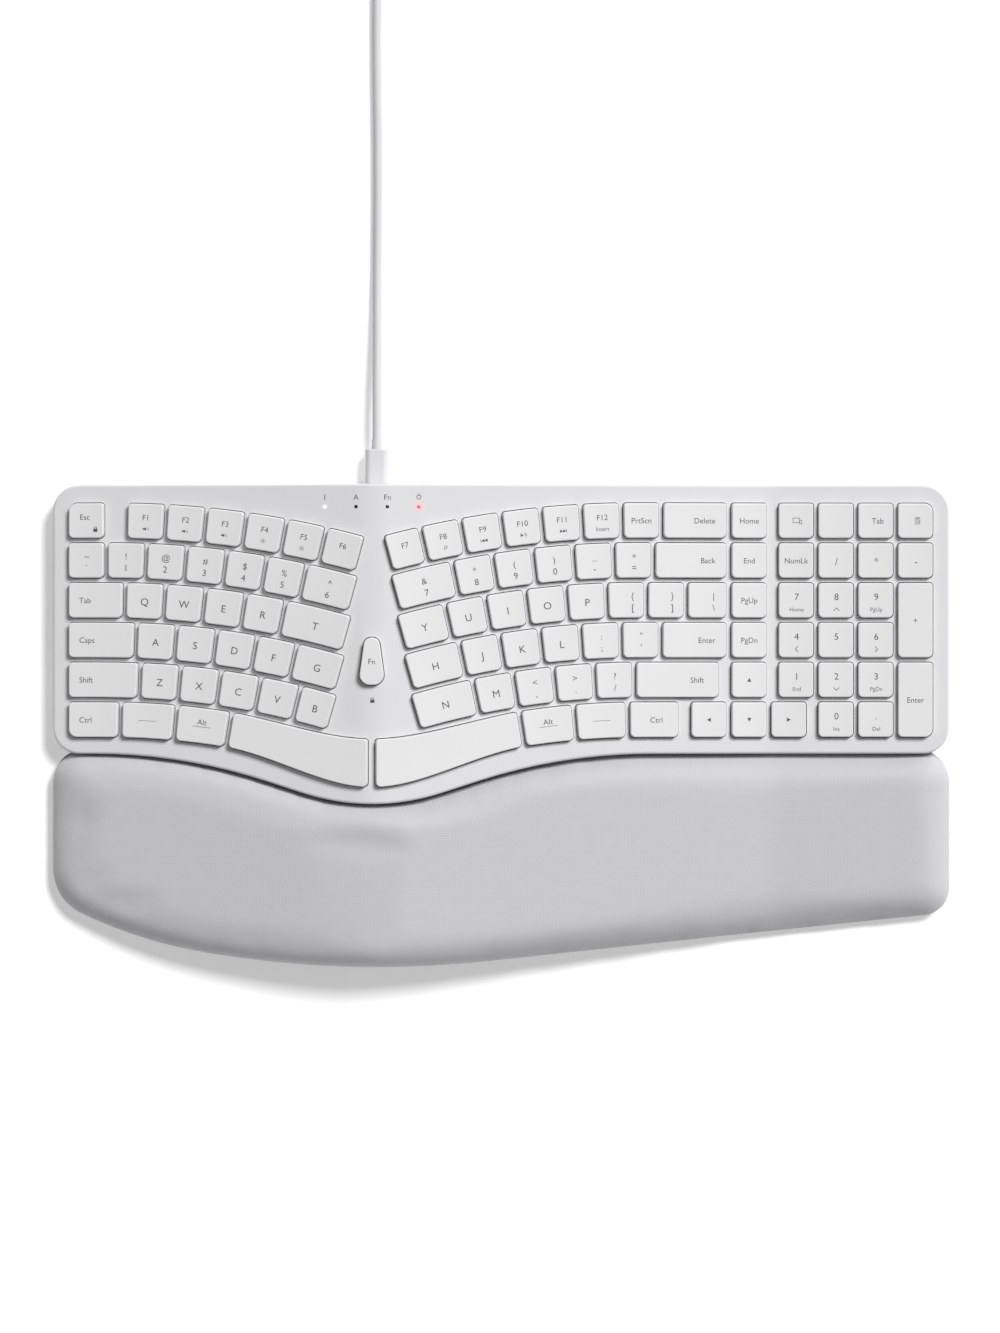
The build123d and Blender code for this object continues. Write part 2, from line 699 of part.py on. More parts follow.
def build_keycap(key):
    """One hollow keycap with its plunger and the four clips that hold the scissors."""
    axis = Axis(key.plane.origin, key.plane.z_dir)
    with BuildPart() as cap:
        extrude(key_face(key, KEY_INSET, -KEY_SKIRT), amount=KEY_TOP + KEY_SKIRT, taper=KEY_TAPER)
        if not isinstance(key, (SpaceKey, FnKey)) and key.rows[0] == key.rows[1]:
            half = key.width / 2
            dish_radius = (half * half + KEY_DISH * KEY_DISH) / (2 * KEY_DISH)
            lie = Plane(origin=key.plane.origin, x_dir=key.plane.x_dir, z_dir=key.plane.y_dir)
            rise = KEY_TOP - KEY_DISH + dish_radius
            with BuildSketch(lie.offset(-KEY_PITCH)):
                with Locations((0, -rise)):
                    Circle(dish_radius)
            extrude(amount=2 * KEY_PITCH, mode=Mode.SUBTRACT)
        fillet(cap.faces().sort_by(axis)[-1].edges(), KEY_EDGE_RADIUS)
        hollow = key_face(key, KEY_INSET + KEY_WALL, -KEY_SKIRT)
        extrude(hollow, amount=KEY_CEILING + KEY_SKIRT, mode=Mode.SUBTRACT)
        plunger_bottom = DOME_HEIGHT - SHOULDER_DEPTH + BOSS_GAP
        with BuildSketch(key.plane.offset(plunger_bottom)):
            Circle(BOSS_RADIUS)
        extrude(amount=KEY_CEILING - plunger_bottom)
        if not isinstance(key, FnKey):
            with BuildSketch(key.plane.offset(CLIP_BOTTOM)):
                with GridLocations(2 * CLIP_X, 2 * CLIP_Y, 2, 2):
                    Rectangle(CLIP_WIDTH, CLIP_THICKNESS)
            extrude(amount=KEY_CEILING - CLIP_BOTTOM)
    return cap.part


def write(part, name):
    """Label a finished sub-part and write it to its own file."""
    part.label = name
    export_step(part, f"parts/{name}.step")


# Keycaps: one node for each separate key, one for each group of like keys
for node in sorted({key.node for key in KEYS}):
    with BuildPart() as keycap_group:
        add([build_keycap(key) for key in KEYS if key.node == node])
    write(keycap_group.part, node)

# Where the posts for the case screws stand, along the rear wall and the front edge
POST_SHARES = [-0.9, -0.6, -0.02, 0.3, 0.62, 0.9]
FRONT_POST_SHARES = [-0.88, 0.36, 0.62, 0.88]
CASE_POSTS = [(share * SIDE_X, REAR_Y - POST_INSET) for share in POST_SHARES]
CASE_POSTS += [(share * SIDE_X, CASE_FRONT_Y + POST_INSET) for share in FRONT_POST_SHARES]
CASE_POSTS += [(RIDGE_X, wave_low_y() + POST_INSET)]
PALM_POST_SHARES = [(-0.8, 0.35), (-0.4, 0.75), (0.12, 0.7), (0.5, 0.6), (0.85, 0.3)]
PALM_DEPTH = CASE_FRONT_Y + REAR_Y
PALM_POSTS = [(x * SIDE_X, CASE_FRONT_Y - y * PALM_DEPTH) for x, y in PALM_POST_SHARES]
LIGHTS = [
    (RIDGE_X + (number - (LIGHT_COUNT - 1) / 2) * LIGHT_PITCH, REAR_Y - LIGHT_FROM_REAR)
    for number in range(LIGHT_COUNT)
]

# Upper shell of the keyboard, with a hole for each key
openings = []
for key in KEYS:
    place = key_face(key, KEY_WEB / 2, -SHOULDER_DEPTH - OVERRUN)
    openings.append(extrude(place, amount=SHOULDER_DEPTH + KEY_TOP + OVERRUN))
with BuildPart() as well:
    extrude(
        case_outline(WELL_MARGIN, WELL_REAR_MARGIN, WELL_MARGIN, PARTING_HEIGHT), amount=RIDGE_HEIGHT
    )
    keep_below_deck(-DECK_THICKNESS, PARTING_HEIGHT)
with BuildPart() as cavity:
    extrude(case_outline(WALL, WALL, WALL, PARTING_HEIGHT), amount=RIDGE_HEIGHT)
    with BuildSketch(Plane.XY.offset(PARTING_HEIGHT)):
        with Locations(*CASE_POSTS):
            Circle(POST_RADIUS)
    extrude(amount=RIDGE_HEIGHT, mode=Mode.SUBTRACT)
    keep_below_deck(-SHOULDER_DEPTH, PARTING_HEIGHT)
with BuildPart() as top_case:
    extrude(case_outline(0, 0, 0, PARTING_HEIGHT), amount=RIDGE_HEIGHT)
    keep_below_deck(0, PARTING_HEIGHT)
    fillet(rim_edges(top_case.part), CASE_EDGE_RADIUS)
    add([well.part, cavity.part], mode=Mode.SUBTRACT)
    add(openings, mode=Mode.SUBTRACT)
    with BuildSketch(Plane.XY.offset(PARTING_HEIGHT)):
        with Locations(*CASE_POSTS):
            Circle(SCREW_PILOT_RADIUS)
    extrude(amount=SCREW_LENGTH - SCREW_SINK, mode=Mode.SUBTRACT)
    with BuildSketch(Plane.XY.offset(BOARD_TOP)):
        with Locations(*LIGHTS):
            Circle(LIGHT_RADIUS + LIGHT_CLEARANCE)
    extrude(amount=RIDGE_HEIGHT, mode=Mode.SUBTRACT)
    with BuildSketch(Plane.XZ.offset(-REAR_Y - OVERRUN)):
        with Locations((SOCKET_X, SOCKET_HEIGHT_Z)):
            RectangleRounded(
                SOCKET_WIDTH + 2 * PORT_CLEARANCE,
                SOCKET_HEIGHT + 2 * PORT_CLEARANCE,
                SOCKET_HEIGHT / 2,
            )
    extrude(amount=WALL + 2 * OVERRUN, mode=Mode.SUBTRACT)
write(top_case.part, "top_case")

# Lower shell, one tray under the keyboard and the palm rest
FEET = [
    (-0.86 * SIDE_X, 0.8 * REAR_Y),
    (0.86 * SIDE_X, 0.8 * REAR_Y),
    (0, 0.66 * REAR_Y),
    (-0.72 * SIDE_X, -0.6 * REAR_Y),
    (-0.1 * SIDE_X, -0.86 * REAR_Y),
    (0.8 * SIDE_X, -0.55 * REAR_Y),
]
LEG_X = SIDE_X - LEG_FROM_SIDE
LEG_HINGE_Y = REAR_Y - LEG_FROM_REAR
LEG_POCKET_WIDTH = LEG_WIDTH + 2 * LEG_POCKET_CLEARANCE
LEG_POCKET_REAR = LEG_HINGE_Y + LEG_KNUCKLE_RADIUS + LEG_POCKET_CLEARANCE
LEG_POCKET_FRONT = LEG_HINGE_Y - LEG_REACH - LEG_POCKET_CLEARANCE
LEG_POCKET_TOP = LEG_HINGE_HEIGHT + LEG_KNUCKLE_RADIUS + LEG_POCKET_CLEARANCE
BOARD_REAR_Y = REAR_Y - WALL - BOARD_REAR_GAP
BOARD_Y = BOARD_REAR_Y - BOARD_DEPTH / 2
BOARD_POSTS = [
    (
        SOCKET_X + side * (BOARD_WIDTH / 2 - BOARD_STANDOFF_INSET),
        BOARD_Y + end * (BOARD_DEPTH / 2 - BOARD_STANDOFF_INSET),
    )
    for side in (-1, 1)
    for end in (-1, 1)
]
SWITCH_PLACE = (SOCKET_X + SWITCH_OFFSET, REAR_Y - SWITCH_FROM_REAR)
ALL_POSTS = CASE_POSTS + PALM_POSTS
STEP_HEIGHT = FOOT_HEIGHT + FLOOR_EDGE_STEP
with BuildPart() as bottom_case:
    extrude(case_outline(0, 0, 0, STEP_HEIGHT), amount=PARTING_HEIGHT - STEP_HEIGHT)
    extrude(palm_outline(0, -PALM_GAP, STEP_HEIGHT), amount=PARTING_HEIGHT - STEP_HEIGHT)
    extrude(
        case_outline(FLOOR_EDGE_STEP, FLOOR_EDGE_STEP, FLOOR_EDGE_STEP, FOOT_HEIGHT),
        amount=FLOOR_EDGE_STEP,
    )
    extrude(
        palm_outline(FLOOR_EDGE_STEP, -PALM_GAP - 2 * FLOOR_EDGE_STEP, FOOT_HEIGHT),
        amount=FLOOR_EDGE_STEP,
    )
    extrude(
        case_outline(WALL, WALL, WALL, FLOOR_TOP), amount=PARTING_HEIGHT - FLOOR_TOP, mode=Mode.SUBTRACT
    )
    extrude(
        palm_outline(TRAY_WALL + PALM_FIT, PALM_GAP, FLOOR_TOP),
        amount=PARTING_HEIGHT - FLOOR_TOP,
        mode=Mode.SUBTRACT,
    )
    with BuildSketch(Plane.XY.offset(FLOOR_TOP)):
        with Locations(*ALL_POSTS):
            Circle(STANDOFF_RADIUS)
    extrude(amount=PARTING_HEIGHT - FLOOR_TOP)
    with BuildSketch(Plane.XY.offset(FLOOR_TOP)):
        with Locations(*BOARD_POSTS):
            Circle(BOARD_STANDOFF_RADIUS)
    extrude(amount=BOARD_HEIGHT - FLOOR_TOP)
    pocket_y = (LEG_POCKET_REAR + LEG_POCKET_FRONT) / 2
    pocket_depth = LEG_POCKET_REAR - LEG_POCKET_FRONT
    with BuildSketch(Plane.XY.offset(FOOT_HEIGHT)):
        with Locations((-LEG_X, pocket_y), (LEG_X, pocket_y)):
            Rectangle(LEG_POCKET_WIDTH + 2 * LEG_POCKET_WALL, pocket_depth + 2 * LEG_POCKET_WALL)
    extrude(amount=LEG_POCKET_TOP + LEG_POCKET_WALL - FOOT_HEIGHT)
    with BuildSketch(Plane.XY.offset(FOOT_HEIGHT - OVERRUN)):
        with Locations((-LEG_X, pocket_y), (LEG_X, pocket_y)):
            Rectangle(LEG_POCKET_WIDTH, pocket_depth)
    extrude(amount=LEG_POCKET_TOP - FOOT_HEIGHT + OVERRUN, mode=Mode.SUBTRACT)
    with BuildSketch(Plane.YZ.offset(-LEG_X - LEG_POCKET_WIDTH / 2 - LEG_POCKET_WALL)):
        with Locations((LEG_HINGE_Y, LEG_HINGE_HEIGHT)):
            Circle(LEG_PIN_RADIUS + LEG_PIN_CLEARANCE)
    extrude(amount=LEG_POCKET_WIDTH + 2 * LEG_POCKET_WALL, mode=Mode.SUBTRACT)
    with BuildSketch(Plane.YZ.offset(LEG_X - LEG_POCKET_WIDTH / 2 - LEG_POCKET_WALL)):
        with Locations((LEG_HINGE_Y, LEG_HINGE_HEIGHT)):
            Circle(LEG_PIN_RADIUS + LEG_PIN_CLEARANCE)
    extrude(amount=LEG_POCKET_WIDTH + 2 * LEG_POCKET_WALL, mode=Mode.SUBTRACT)
    with BuildSketch(Plane.XY.offset(FOOT_HEIGHT)):
        with Locations(*FEET):
            RectangleRounded(FOOT_LENGTH, FOOT_WIDTH, FOOT_CORNER)
    extrude(amount=FOOT_SINK, mode=Mode.SUBTRACT)
    with BuildSketch(Plane.XY.offset(FOOT_HEIGHT)):
        with Locations(*ALL_POSTS):
            Circle(SCREW_HEAD_RADIUS + SCREW_CLEARANCE)
    extrude(amount=SCREW_SINK, mode=Mode.SUBTRACT)
    with BuildSketch(Plane.XY.offset(FOOT_HEIGHT)):
        with Locations(*ALL_POSTS):
            Circle(SCREW_SHANK_RADIUS + SCREW_CLEARANCE)
    extrude(amount=PARTING_HEIGHT, mode=Mode.SUBTRACT)
    with BuildSketch(Plane.XY.offset(FOOT_HEIGHT)):
        with Locations(SWITCH_PLACE):
            RectangleRounded(
                SLIDER_LENGTH + SLIDER_TRAVEL + 2 * SLIDER_CLEARANCE,
                SLIDER_WIDTH + 2 * SLIDER_CLEARANCE,
                SLIDER_CLEARANCE,
            )
    extrude(amount=FLOOR_THICKNESS, mode=Mode.SUBTRACT)
write(bottom_case.part, "bottom_case")

# Screws from below
with BuildPart() as case_screws:
    with BuildSketch(Plane.XY.offset(FOOT_HEIGHT + SCREW_SINK - SCREW_HEAD_HEIGHT)):
        with Locations(*ALL_POSTS):
            Circle(SCREW_HEAD_RADIUS)
            Rectangle(2 * SCREW_HEAD_RADIUS, SCREW_SLOT_WIDTH, mode=Mode.SUBTRACT)
    extrude(amount=SCREW_SLOT_DEPTH)
    with BuildSketch(Plane.XY.offset(FOOT_HEIGHT + SCREW_SINK - SCREW_HEAD_HEIGHT + SCREW_SLOT_DEPTH)):
        with Locations(*ALL_POSTS):
            Circle(SCREW_HEAD_RADIUS)
    extrude(amount=SCREW_HEAD_HEIGHT - SCREW_SLOT_DEPTH)
    with BuildSketch(Plane.XY.offset(FOOT_HEIGHT + SCREW_SINK)):
        with Locations(*CASE_POSTS):
            Circle(SCREW_SHANK_RADIUS)
    extrude(amount=SCREW_LENGTH)
    with BuildSketch(Plane.XY.offset(FOOT_HEIGHT + SCREW_SINK)):
        with Locations(*PALM_POSTS):
            Circle(SCREW_SHANK_RADIUS)
    extrude(amount=PALM_SCREW_LENGTH)
write(case_screws.part, "case_screws")

# Steel plate bent to the arch, with upright tabs that catch the scissors
PLATE_MARGIN = WELL_MARGIN - PLATE_LAP
PLATE_REAR_MARGIN = WELL_REAR_MARGIN - PLATE_LAP
MECHANISM_KEYS = [key for key in KEYS if not isinstance(key, FnKey)]
tabs = []
tab_slots = []
for key in MECHANISM_KEYS:
    with BuildSketch(key.plane.offset(-MEMBRANE_BOTTOM)) as tab_face:
        with GridLocations(0, 2 * TAB_OFFSET, 1, 2):
            Rectangle(TAB_WIDTH, TAB_THICKNESS)
    tabs.append(extrude(tab_face.sketch, amount=TAB_HEIGHT))
    with BuildSketch(key.plane.offset(-MEMBRANE_BOTTOM - OVERRUN)) as slot_face:
        with GridLocations(0, 2 * TAB_OFFSET, 1, 2):
            Rectangle(TAB_WIDTH + 2 * TAB_CLEARANCE, TAB_THICKNESS + 2 * TAB_CLEARANCE)
    tab_slots.append(extrude(slot_face.sketch, amount=2 * OVERRUN))
RIBBON_X = SOCKET_X + RIBBON_OFFSET
RIBBON_Y = REAR_Y - RIBBON_FROM_REAR
with BuildPart() as support_plate:
    extrude(
        case_outline(PLATE_MARGIN, PLATE_REAR_MARGIN, PLATE_MARGIN, PARTING_HEIGHT), amount=RIDGE_HEIGHT
    )
    keep_below_deck(-MEMBRANE_BOTTOM, PARTING_HEIGHT)
    extrude(arch_section(-PLATE_BOTTOM, 0), amount=DEPTH, both=True, mode=Mode.SUBTRACT)
    with BuildSketch(Plane.XY):
        with Locations(*LIGHTS):
            Circle(LIGHT_RADIUS + LIGHT_HOLE_CLEARANCE)
        with Locations((RIBBON_X, RIBBON_Y)):
            Rectangle(RIBBON_WIDTH + RIBBON_SLOT_CLEARANCE, RIBBON_THICKNESS + RIBBON_SLOT_CLEARANCE)
    extrude(amount=RIDGE_HEIGHT, mode=Mode.SUBTRACT)
    add(tabs)
write(support_plate.part, "support_plate")

# Membrane circuit on the plate
with BuildPart() as membrane_circuit:
    extrude(
        case_outline(PLATE_MARGIN, PLATE_REAR_MARGIN, PLATE_MARGIN, PARTING_HEIGHT), amount=RIDGE_HEIGHT
    )
    keep_below_deck(-SHOULDER_DEPTH, PARTING_HEIGHT)
    extrude(arch_section(-MEMBRANE_BOTTOM, 0), amount=DEPTH, both=True, mode=Mode.SUBTRACT)
    with BuildSketch(Plane.XY):
        with Locations(*LIGHTS):
            Circle(LIGHT_RADIUS + LIGHT_HOLE_CLEARANCE)
    extrude(amount=RIDGE_HEIGHT, mode=Mode.SUBTRACT)
    add(tab_slots, mode=Mode.SUBTRACT)
write(membrane_circuit.part, "membrane_circuit")

# Rubber dome, one under each key
with BuildPart() as one_dome:
    with BuildSketch(Plane.XZ):
        with BuildLine():
            Polyline(
                (DOME_FLANGE_RADIUS, 0),
                (DOME_FLANGE_RADIUS, DOME_FLANGE),
                (DOME_FOOT_RADIUS, DOME_FLANGE),
                (DOME_TOP_RADIUS, DOME_HEIGHT),
                (0, DOME_HEIGHT),
                (0, DOME_HEIGHT - DOME_ROOF),
                (DOME_TOP_RADIUS - DOME_WALL, DOME_HEIGHT - DOME_ROOF),
                (DOME_FOOT_RADIUS - DOME_WALL, 0),
                close=True,
            )
        make_face()
    revolve(axis=Axis.Z)
with BuildPart() as rubber_domes:
    with Locations(*[key.plane.offset(-SHOULDER_DEPTH) for key in KEYS]):
        add(one_dome.part)
write(rubber_domes.part, "rubber_domes")

# The two frames of a scissor, crossing at their middle
SCISSOR_ANGLE = degrees(asin(SCISSOR_LIFT / SCISSOR_LENGTH))
INNER_WIDTH = SCISSOR_WIDTH - 2 * (SCISSOR_BAR + SCISSOR_GAP)
with BuildPart() as one_outer_frame:
    with BuildSketch(Plane.XY.rotated((SCISSOR_ANGLE, 0, 0)).offset(-SCISSOR_THICKNESS / 2)):
        Rectangle(SCISSOR_WIDTH, SCISSOR_LENGTH)
        Rectangle(
            SCISSOR_WIDTH - 2 * SCISSOR_BAR, SCISSOR_LENGTH - 2 * SCISSOR_BAR, mode=Mode.SUBTRACT
        )
    extrude(amount=SCISSOR_THICKNESS)
with BuildPart() as one_inner_frame:
    with BuildSketch(Plane.XY.rotated((-SCISSOR_ANGLE, 0, 0)).offset(-SCISSOR_THICKNESS / 2)):
        Rectangle(INNER_WIDTH, SCISSOR_LENGTH)
        Rectangle(
            INNER_WIDTH - 2 * SCISSOR_BAR, SCISSOR_LENGTH - 2 * SCISSOR_BAR, mode=Mode.SUBTRACT
        )
    extrude(amount=SCISSOR_THICKNESS)
    for side in (-1, 1):
        with BuildSketch(Plane.YZ.offset(side * INNER_WIDTH / 2)):
            Circle(SCISSOR_PIN_RADIUS)
        extrude(amount=side * (SCISSOR_GAP - SCISSOR_PIN_GAP))
scissor_places = [key.plane.offset(-SCISSOR_MIDDLE) for key in MECHANISM_KEYS]
with BuildPart() as scissor_outer_frames:
    with Locations(*scissor_places):
        add(one_outer_frame.part)
write(scissor_outer_frames.part, "scissor_outer_frames")
with BuildPart() as scissor_inner_frames:
    with Locations(*scissor_places):
        add(one_inner_frame.part)
write(scissor_inner_frames.part, "scissor_inner_frames")


def stabilizer_bar(key):
    """Bent wire that keeps a wide key level, with its two feet on the plate."""
    tall = key.rows[0] != key.rows[1]
    length = 2 * KEY_PITCH if tall else key.width
    half = min(length / 2 - STABILIZER_END_MARGIN, STABILIZER_LONGEST / 2)
    turned = Plane(origin=key.plane.origin, x_dir=key.plane.y_dir, z_dir=key.plane.z_dir)
    plane = turned if tall else key.plane
    front = -STABILIZER_OFFSET
    rear = STABILIZER_REACH - STABILIZER_OFFSET
    foot = half - 2 * STABILIZER_BEND
    points = [
        (-foot, rear, -STABILIZER_FOOT),
        (-half, rear, -STABILIZER_FOOT),
        (-half, front, STABILIZER_TOP),
        (half, front, STABILIZER_TOP),
        (half, rear, -STABILIZER_FOOT),
        (foot, rear, -STABILIZER_FOOT),
    ]
    with BuildPart() as bar:
        with BuildLine(plane) as path:
            FilletPolyline(*points, radius=STABILIZER_BEND)
        start = path.line @ 0
        with BuildSketch(Plane(origin=start, z_dir=path.line % 0)):
            Circle(STABILIZER_WIRE / 2)
        sweep(path=path.line)
    return bar.part


# Stabilizer bars under the wide keys
with BuildPart() as stabilizer_bars:
    wide_keys = [
        key for key in MECHANISM_KEYS if key.width > STABILIZED_WIDTH or key.rows[0] != key.rows[1]
    ]
    add([stabilizer_bar(key) for key in wide_keys])
write(stabilizer_bars.part, "stabilizer_bars")

# Main board with its chips, the flat cable's connector and the switch body
with BuildPart() as main_board:
    with BuildSketch(Plane.XY.offset(BOARD_HEIGHT)):
        with Locations((SOCKET_X, BOARD_Y)):
            Rectangle(BOARD_WIDTH, BOARD_DEPTH)
    extrude(amount=BOARD_THICKNESS)
    with BuildSketch(Plane.XY.offset(BOARD_TOP)):
        with Locations((RIBBON_X, RIBBON_Y)):
            Rectangle(RIBBON_WIDTH + 2 * RIBBON_CONNECTOR_LIP, RIBBON_CONNECTOR_DEPTH)
            Rectangle(RIBBON_WIDTH + 2 * PALM_FIT, RIBBON_THICKNESS + 2 * PALM_FIT, mode=Mode.SUBTRACT)
    extrude(amount=RIBBON_CONNECTOR_HEIGHT)
    for place_shares, size_shares, thickness_share in CHIP_SHARES:
        with BuildSketch(Plane.XY.offset(BOARD_TOP)):
            with Locations(
                (SOCKET_X + place_shares[0] * BOARD_WIDTH, BOARD_Y + place_shares[1] * BOARD_DEPTH)
            ):
                Rectangle(size_shares[0] * BOARD_WIDTH, size_shares[1] * BOARD_DEPTH)
        extrude(amount=thickness_share * BOARD_THICKNESS)
    with BuildSketch(Plane.XY.offset(BOARD_HEIGHT - SWITCH_THICKNESS)):
        with Locations(SWITCH_PLACE):
            Rectangle(SWITCH_LENGTH, SWITCH_WIDTH)
    extrude(amount=SWITCH_THICKNESS)
write(main_board.part, "main_board")

# Slider of the power switch, reached through the floor
SLIDER_TOP = BOARD_HEIGHT - SWITCH_THICKNESS - SWITCH_GAP
SLIDER_BOTTOM = FOOT_HEIGHT + SLIDER_RECESS
with BuildPart() as power_switch_slider:
    with BuildSketch(Plane.XY.offset(SLIDER_BOTTOM)):
        with Locations((SWITCH_PLACE[0] - SLIDER_TRAVEL / 2, SWITCH_PLACE[1])):
            Rectangle(SLIDER_LENGTH, SLIDER_WIDTH)
    extrude(amount=SLIDER_TOP - SLIDER_BOTTOM)
    with BuildSketch(Plane.XY.offset(SLIDER_BOTTOM)):
        with Locations((SWITCH_PLACE[0] - SLIDER_TRAVEL / 2, SWITCH_PLACE[1])):
            with GridLocations(SLIDER_LENGTH / 3, 0, 3, 1):
                Rectangle(SLIDER_GRIP, SLIDER_WIDTH)
    extrude(amount=SLIDER_GRIP, mode=Mode.SUBTRACT)
write(power_switch_slider.part, "power_switch_slider")

# Charging socket on the board
SOCKET_FACE_Y = REAR_Y - WALL
with BuildPart() as usb_c_socket:
    with BuildSketch(Plane.XZ.offset(-SOCKET_FACE_Y)):
        with Locations((SOCKET_X, SOCKET_HEIGHT_Z)):
            RectangleRounded(SOCKET_WIDTH, SOCKET_HEIGHT, SOCKET_HEIGHT / 2 - SOCKET_SHEET)
    extrude(amount=SOCKET_LENGTH)
    with BuildSketch(Plane.XZ.offset(-SOCKET_FACE_Y)):
        with Locations((SOCKET_X, SOCKET_HEIGHT_Z)):
            RectangleRounded(
                SOCKET_WIDTH - 2 * SOCKET_SHEET,
                SOCKET_HEIGHT - 2 * SOCKET_SHEET,
                SOCKET_HEIGHT / 2 - 2 * SOCKET_SHEET,
            )
            Rectangle(TONGUE_WIDTH, TONGUE_THICKNESS, mode=Mode.SUBTRACT)
    extrude(amount=SOCKET_LENGTH - SOCKET_BACK, mode=Mode.SUBTRACT)
    with BuildSketch(Plane.XZ.offset(-SOCKET_FACE_Y)):
        with Locations((SOCKET_X, SOCKET_HEIGHT_Z)):
            Rectangle(TONGUE_WIDTH, TONGUE_THICKNESS)
    extrude(amount=SOCKET_LENGTH - SOCKET_BACK - TONGUE_LENGTH, mode=Mode.SUBTRACT)
write(usb_c_socket.part, "usb_c_socket")

# Battery in front of the board
BATTERY_Y = BOARD_REAR_Y - BOARD_DEPTH - BATTERY_GAP - BATTERY_DEPTH / 2
with BuildPart() as battery_cell:
    with BuildSketch(Plane.XY.offset(FLOOR_TOP)):
        with Locations((SOCKET_X, BATTERY_Y)):
            RectangleRounded(BATTERY_WIDTH, BATTERY_DEPTH, BATTERY_CORNER)
    extrude(amount=BATTERY_THICKNESS)
    fillet(battery_cell.faces().sort_by(Axis.Z)[-1].edges(), BATTERY_CORNER / 2)
write(battery_cell.part, "battery_cell")

# Flat cable from the membrane down to the board
with BuildPart() as ribbon_cable:
    with BuildSketch(Plane.XY.offset(BOARD_TOP)):
        with Locations((RIBBON_X, RIBBON_Y)):
            Rectangle(RIBBON_WIDTH, RIBBON_THICKNESS)
    extrude(amount=RIDGE_HEIGHT)
    keep_below_deck(-MEMBRANE_BOTTOM, BOARD_TOP)
write(ribbon_cable.part, "ribbon_cable")

# Light guides from the board to the deck
with BuildPart() as light_guides:
    with BuildSketch(Plane.XY.offset(BOARD_TOP)):
        with Locations(*LIGHTS):
            Circle(LIGHT_RADIUS)
    extrude(amount=RIDGE_HEIGHT)
    keep_below_deck(0, BOARD_TOP)
    with BuildSketch(Plane.XY.offset(BOARD_TOP)):
        with Locations(*LIGHTS):
            Circle(LIGHT_BASE_RADIUS)
    extrude(amount=LIGHT_BASE_HEIGHT)
write(light_guides.part, "light_guides")

# Rubber feet
with BuildPart() as rubber_feet:
    with BuildSketch(Plane.XY):
        with Locations(*FEET):
            RectangleRounded(FOOT_LENGTH, FOOT_WIDTH, FOOT_CORNER)
    extrude(amount=FOOT_HEIGHT + FOOT_SINK)
write(rubber_feet.part, "rubber_feet")


def tilt_leg(x, name):
    """Folded leg: a flat flap on a knuckle, with a pin at each end."""
    with BuildPart() as leg:
        with BuildSketch(Plane.XY.offset(LEG_HINGE_HEIGHT - LEG_THICKNESS / 2)):
            with Locations((x, LEG_HINGE_Y - LEG_REACH / 2)):
                Rectangle(LEG_WIDTH, LEG_REACH)
        extrude(amount=LEG_THICKNESS)
        fillet(leg.edges().filter_by(Axis.Z).group_by(Axis.Y)[0], LEG_TIP_CORNER)
        with BuildSketch(Plane.YZ.offset(x - LEG_WIDTH / 2)):
            with Locations((LEG_HINGE_Y, LEG_HINGE_HEIGHT)):
                Circle(LEG_KNUCKLE_RADIUS)
        extrude(amount=LEG_WIDTH)
        with BuildSketch(Plane.XY.offset(LEG_HINGE_HEIGHT - LEG_THICKNESS / 2)):
            with Locations((x, LEG_HINGE_Y - LEG_REACH + LEG_TOE)):
                SlotOverall(LEG_WIDTH / 2, LEG_TOE)
        extrude(amount=LEG_TOE / 3, mode=Mode.SUBTRACT)
        with BuildSketch(Plane.YZ.offset(x - LEG_WIDTH / 2 - LEG_PIN_LENGTH)):
            with Locations((LEG_HINGE_Y, LEG_HINGE_HEIGHT)):
                Circle(LEG_PIN_RADIUS)
        extrude(amount=LEG_WIDTH + 2 * LEG_PIN_LENGTH)
    write(leg.part, name)


tilt_leg(-LEG_X, "tilt_leg_left")
tilt_leg(LEG_X, "tilt_leg_right")


def palm_form(inset, floor_height):
    """Cushion form of the palm rest, drawn in by inset all round and on top."""
    with BuildPart() as form:
        extrude(palm_outline(inset, PALM_GAP, floor_height), amount=RIDGE_HEIGHT + PALM_RISE)
        keep_below_deck(PALM_RISE - inset, floor_height)
        fillet(rim_edges(form.part), PALM_EDGE_RADIUS - inset)
    return form.part


# Skin of the palm rest
with BuildPart() as palm_rest_cover:
    add(palm_form(0, PALM_SKIRT_HEIGHT))
    add(palm_form(PALM_COVER_THICKNESS, PALM_SKIRT_HEIGHT), mode=Mode.SUBTRACT)
write(palm_rest_cover.part, "palm_rest_cover")

# Foam under the skin
CORE_INSET = PALM_COVER_THICKNESS + PALM_FIT
with BuildPart() as palm_rest_foam:
    add(palm_form(CORE_INSET, PALM_SKIRT_HEIGHT))
    extrude(arch_section(-PALM_PAD_DEPTH, 0), amount=DEPTH, both=True, mode=Mode.SUBTRACT)
write(palm_rest_foam.part, "palm_rest_foam")

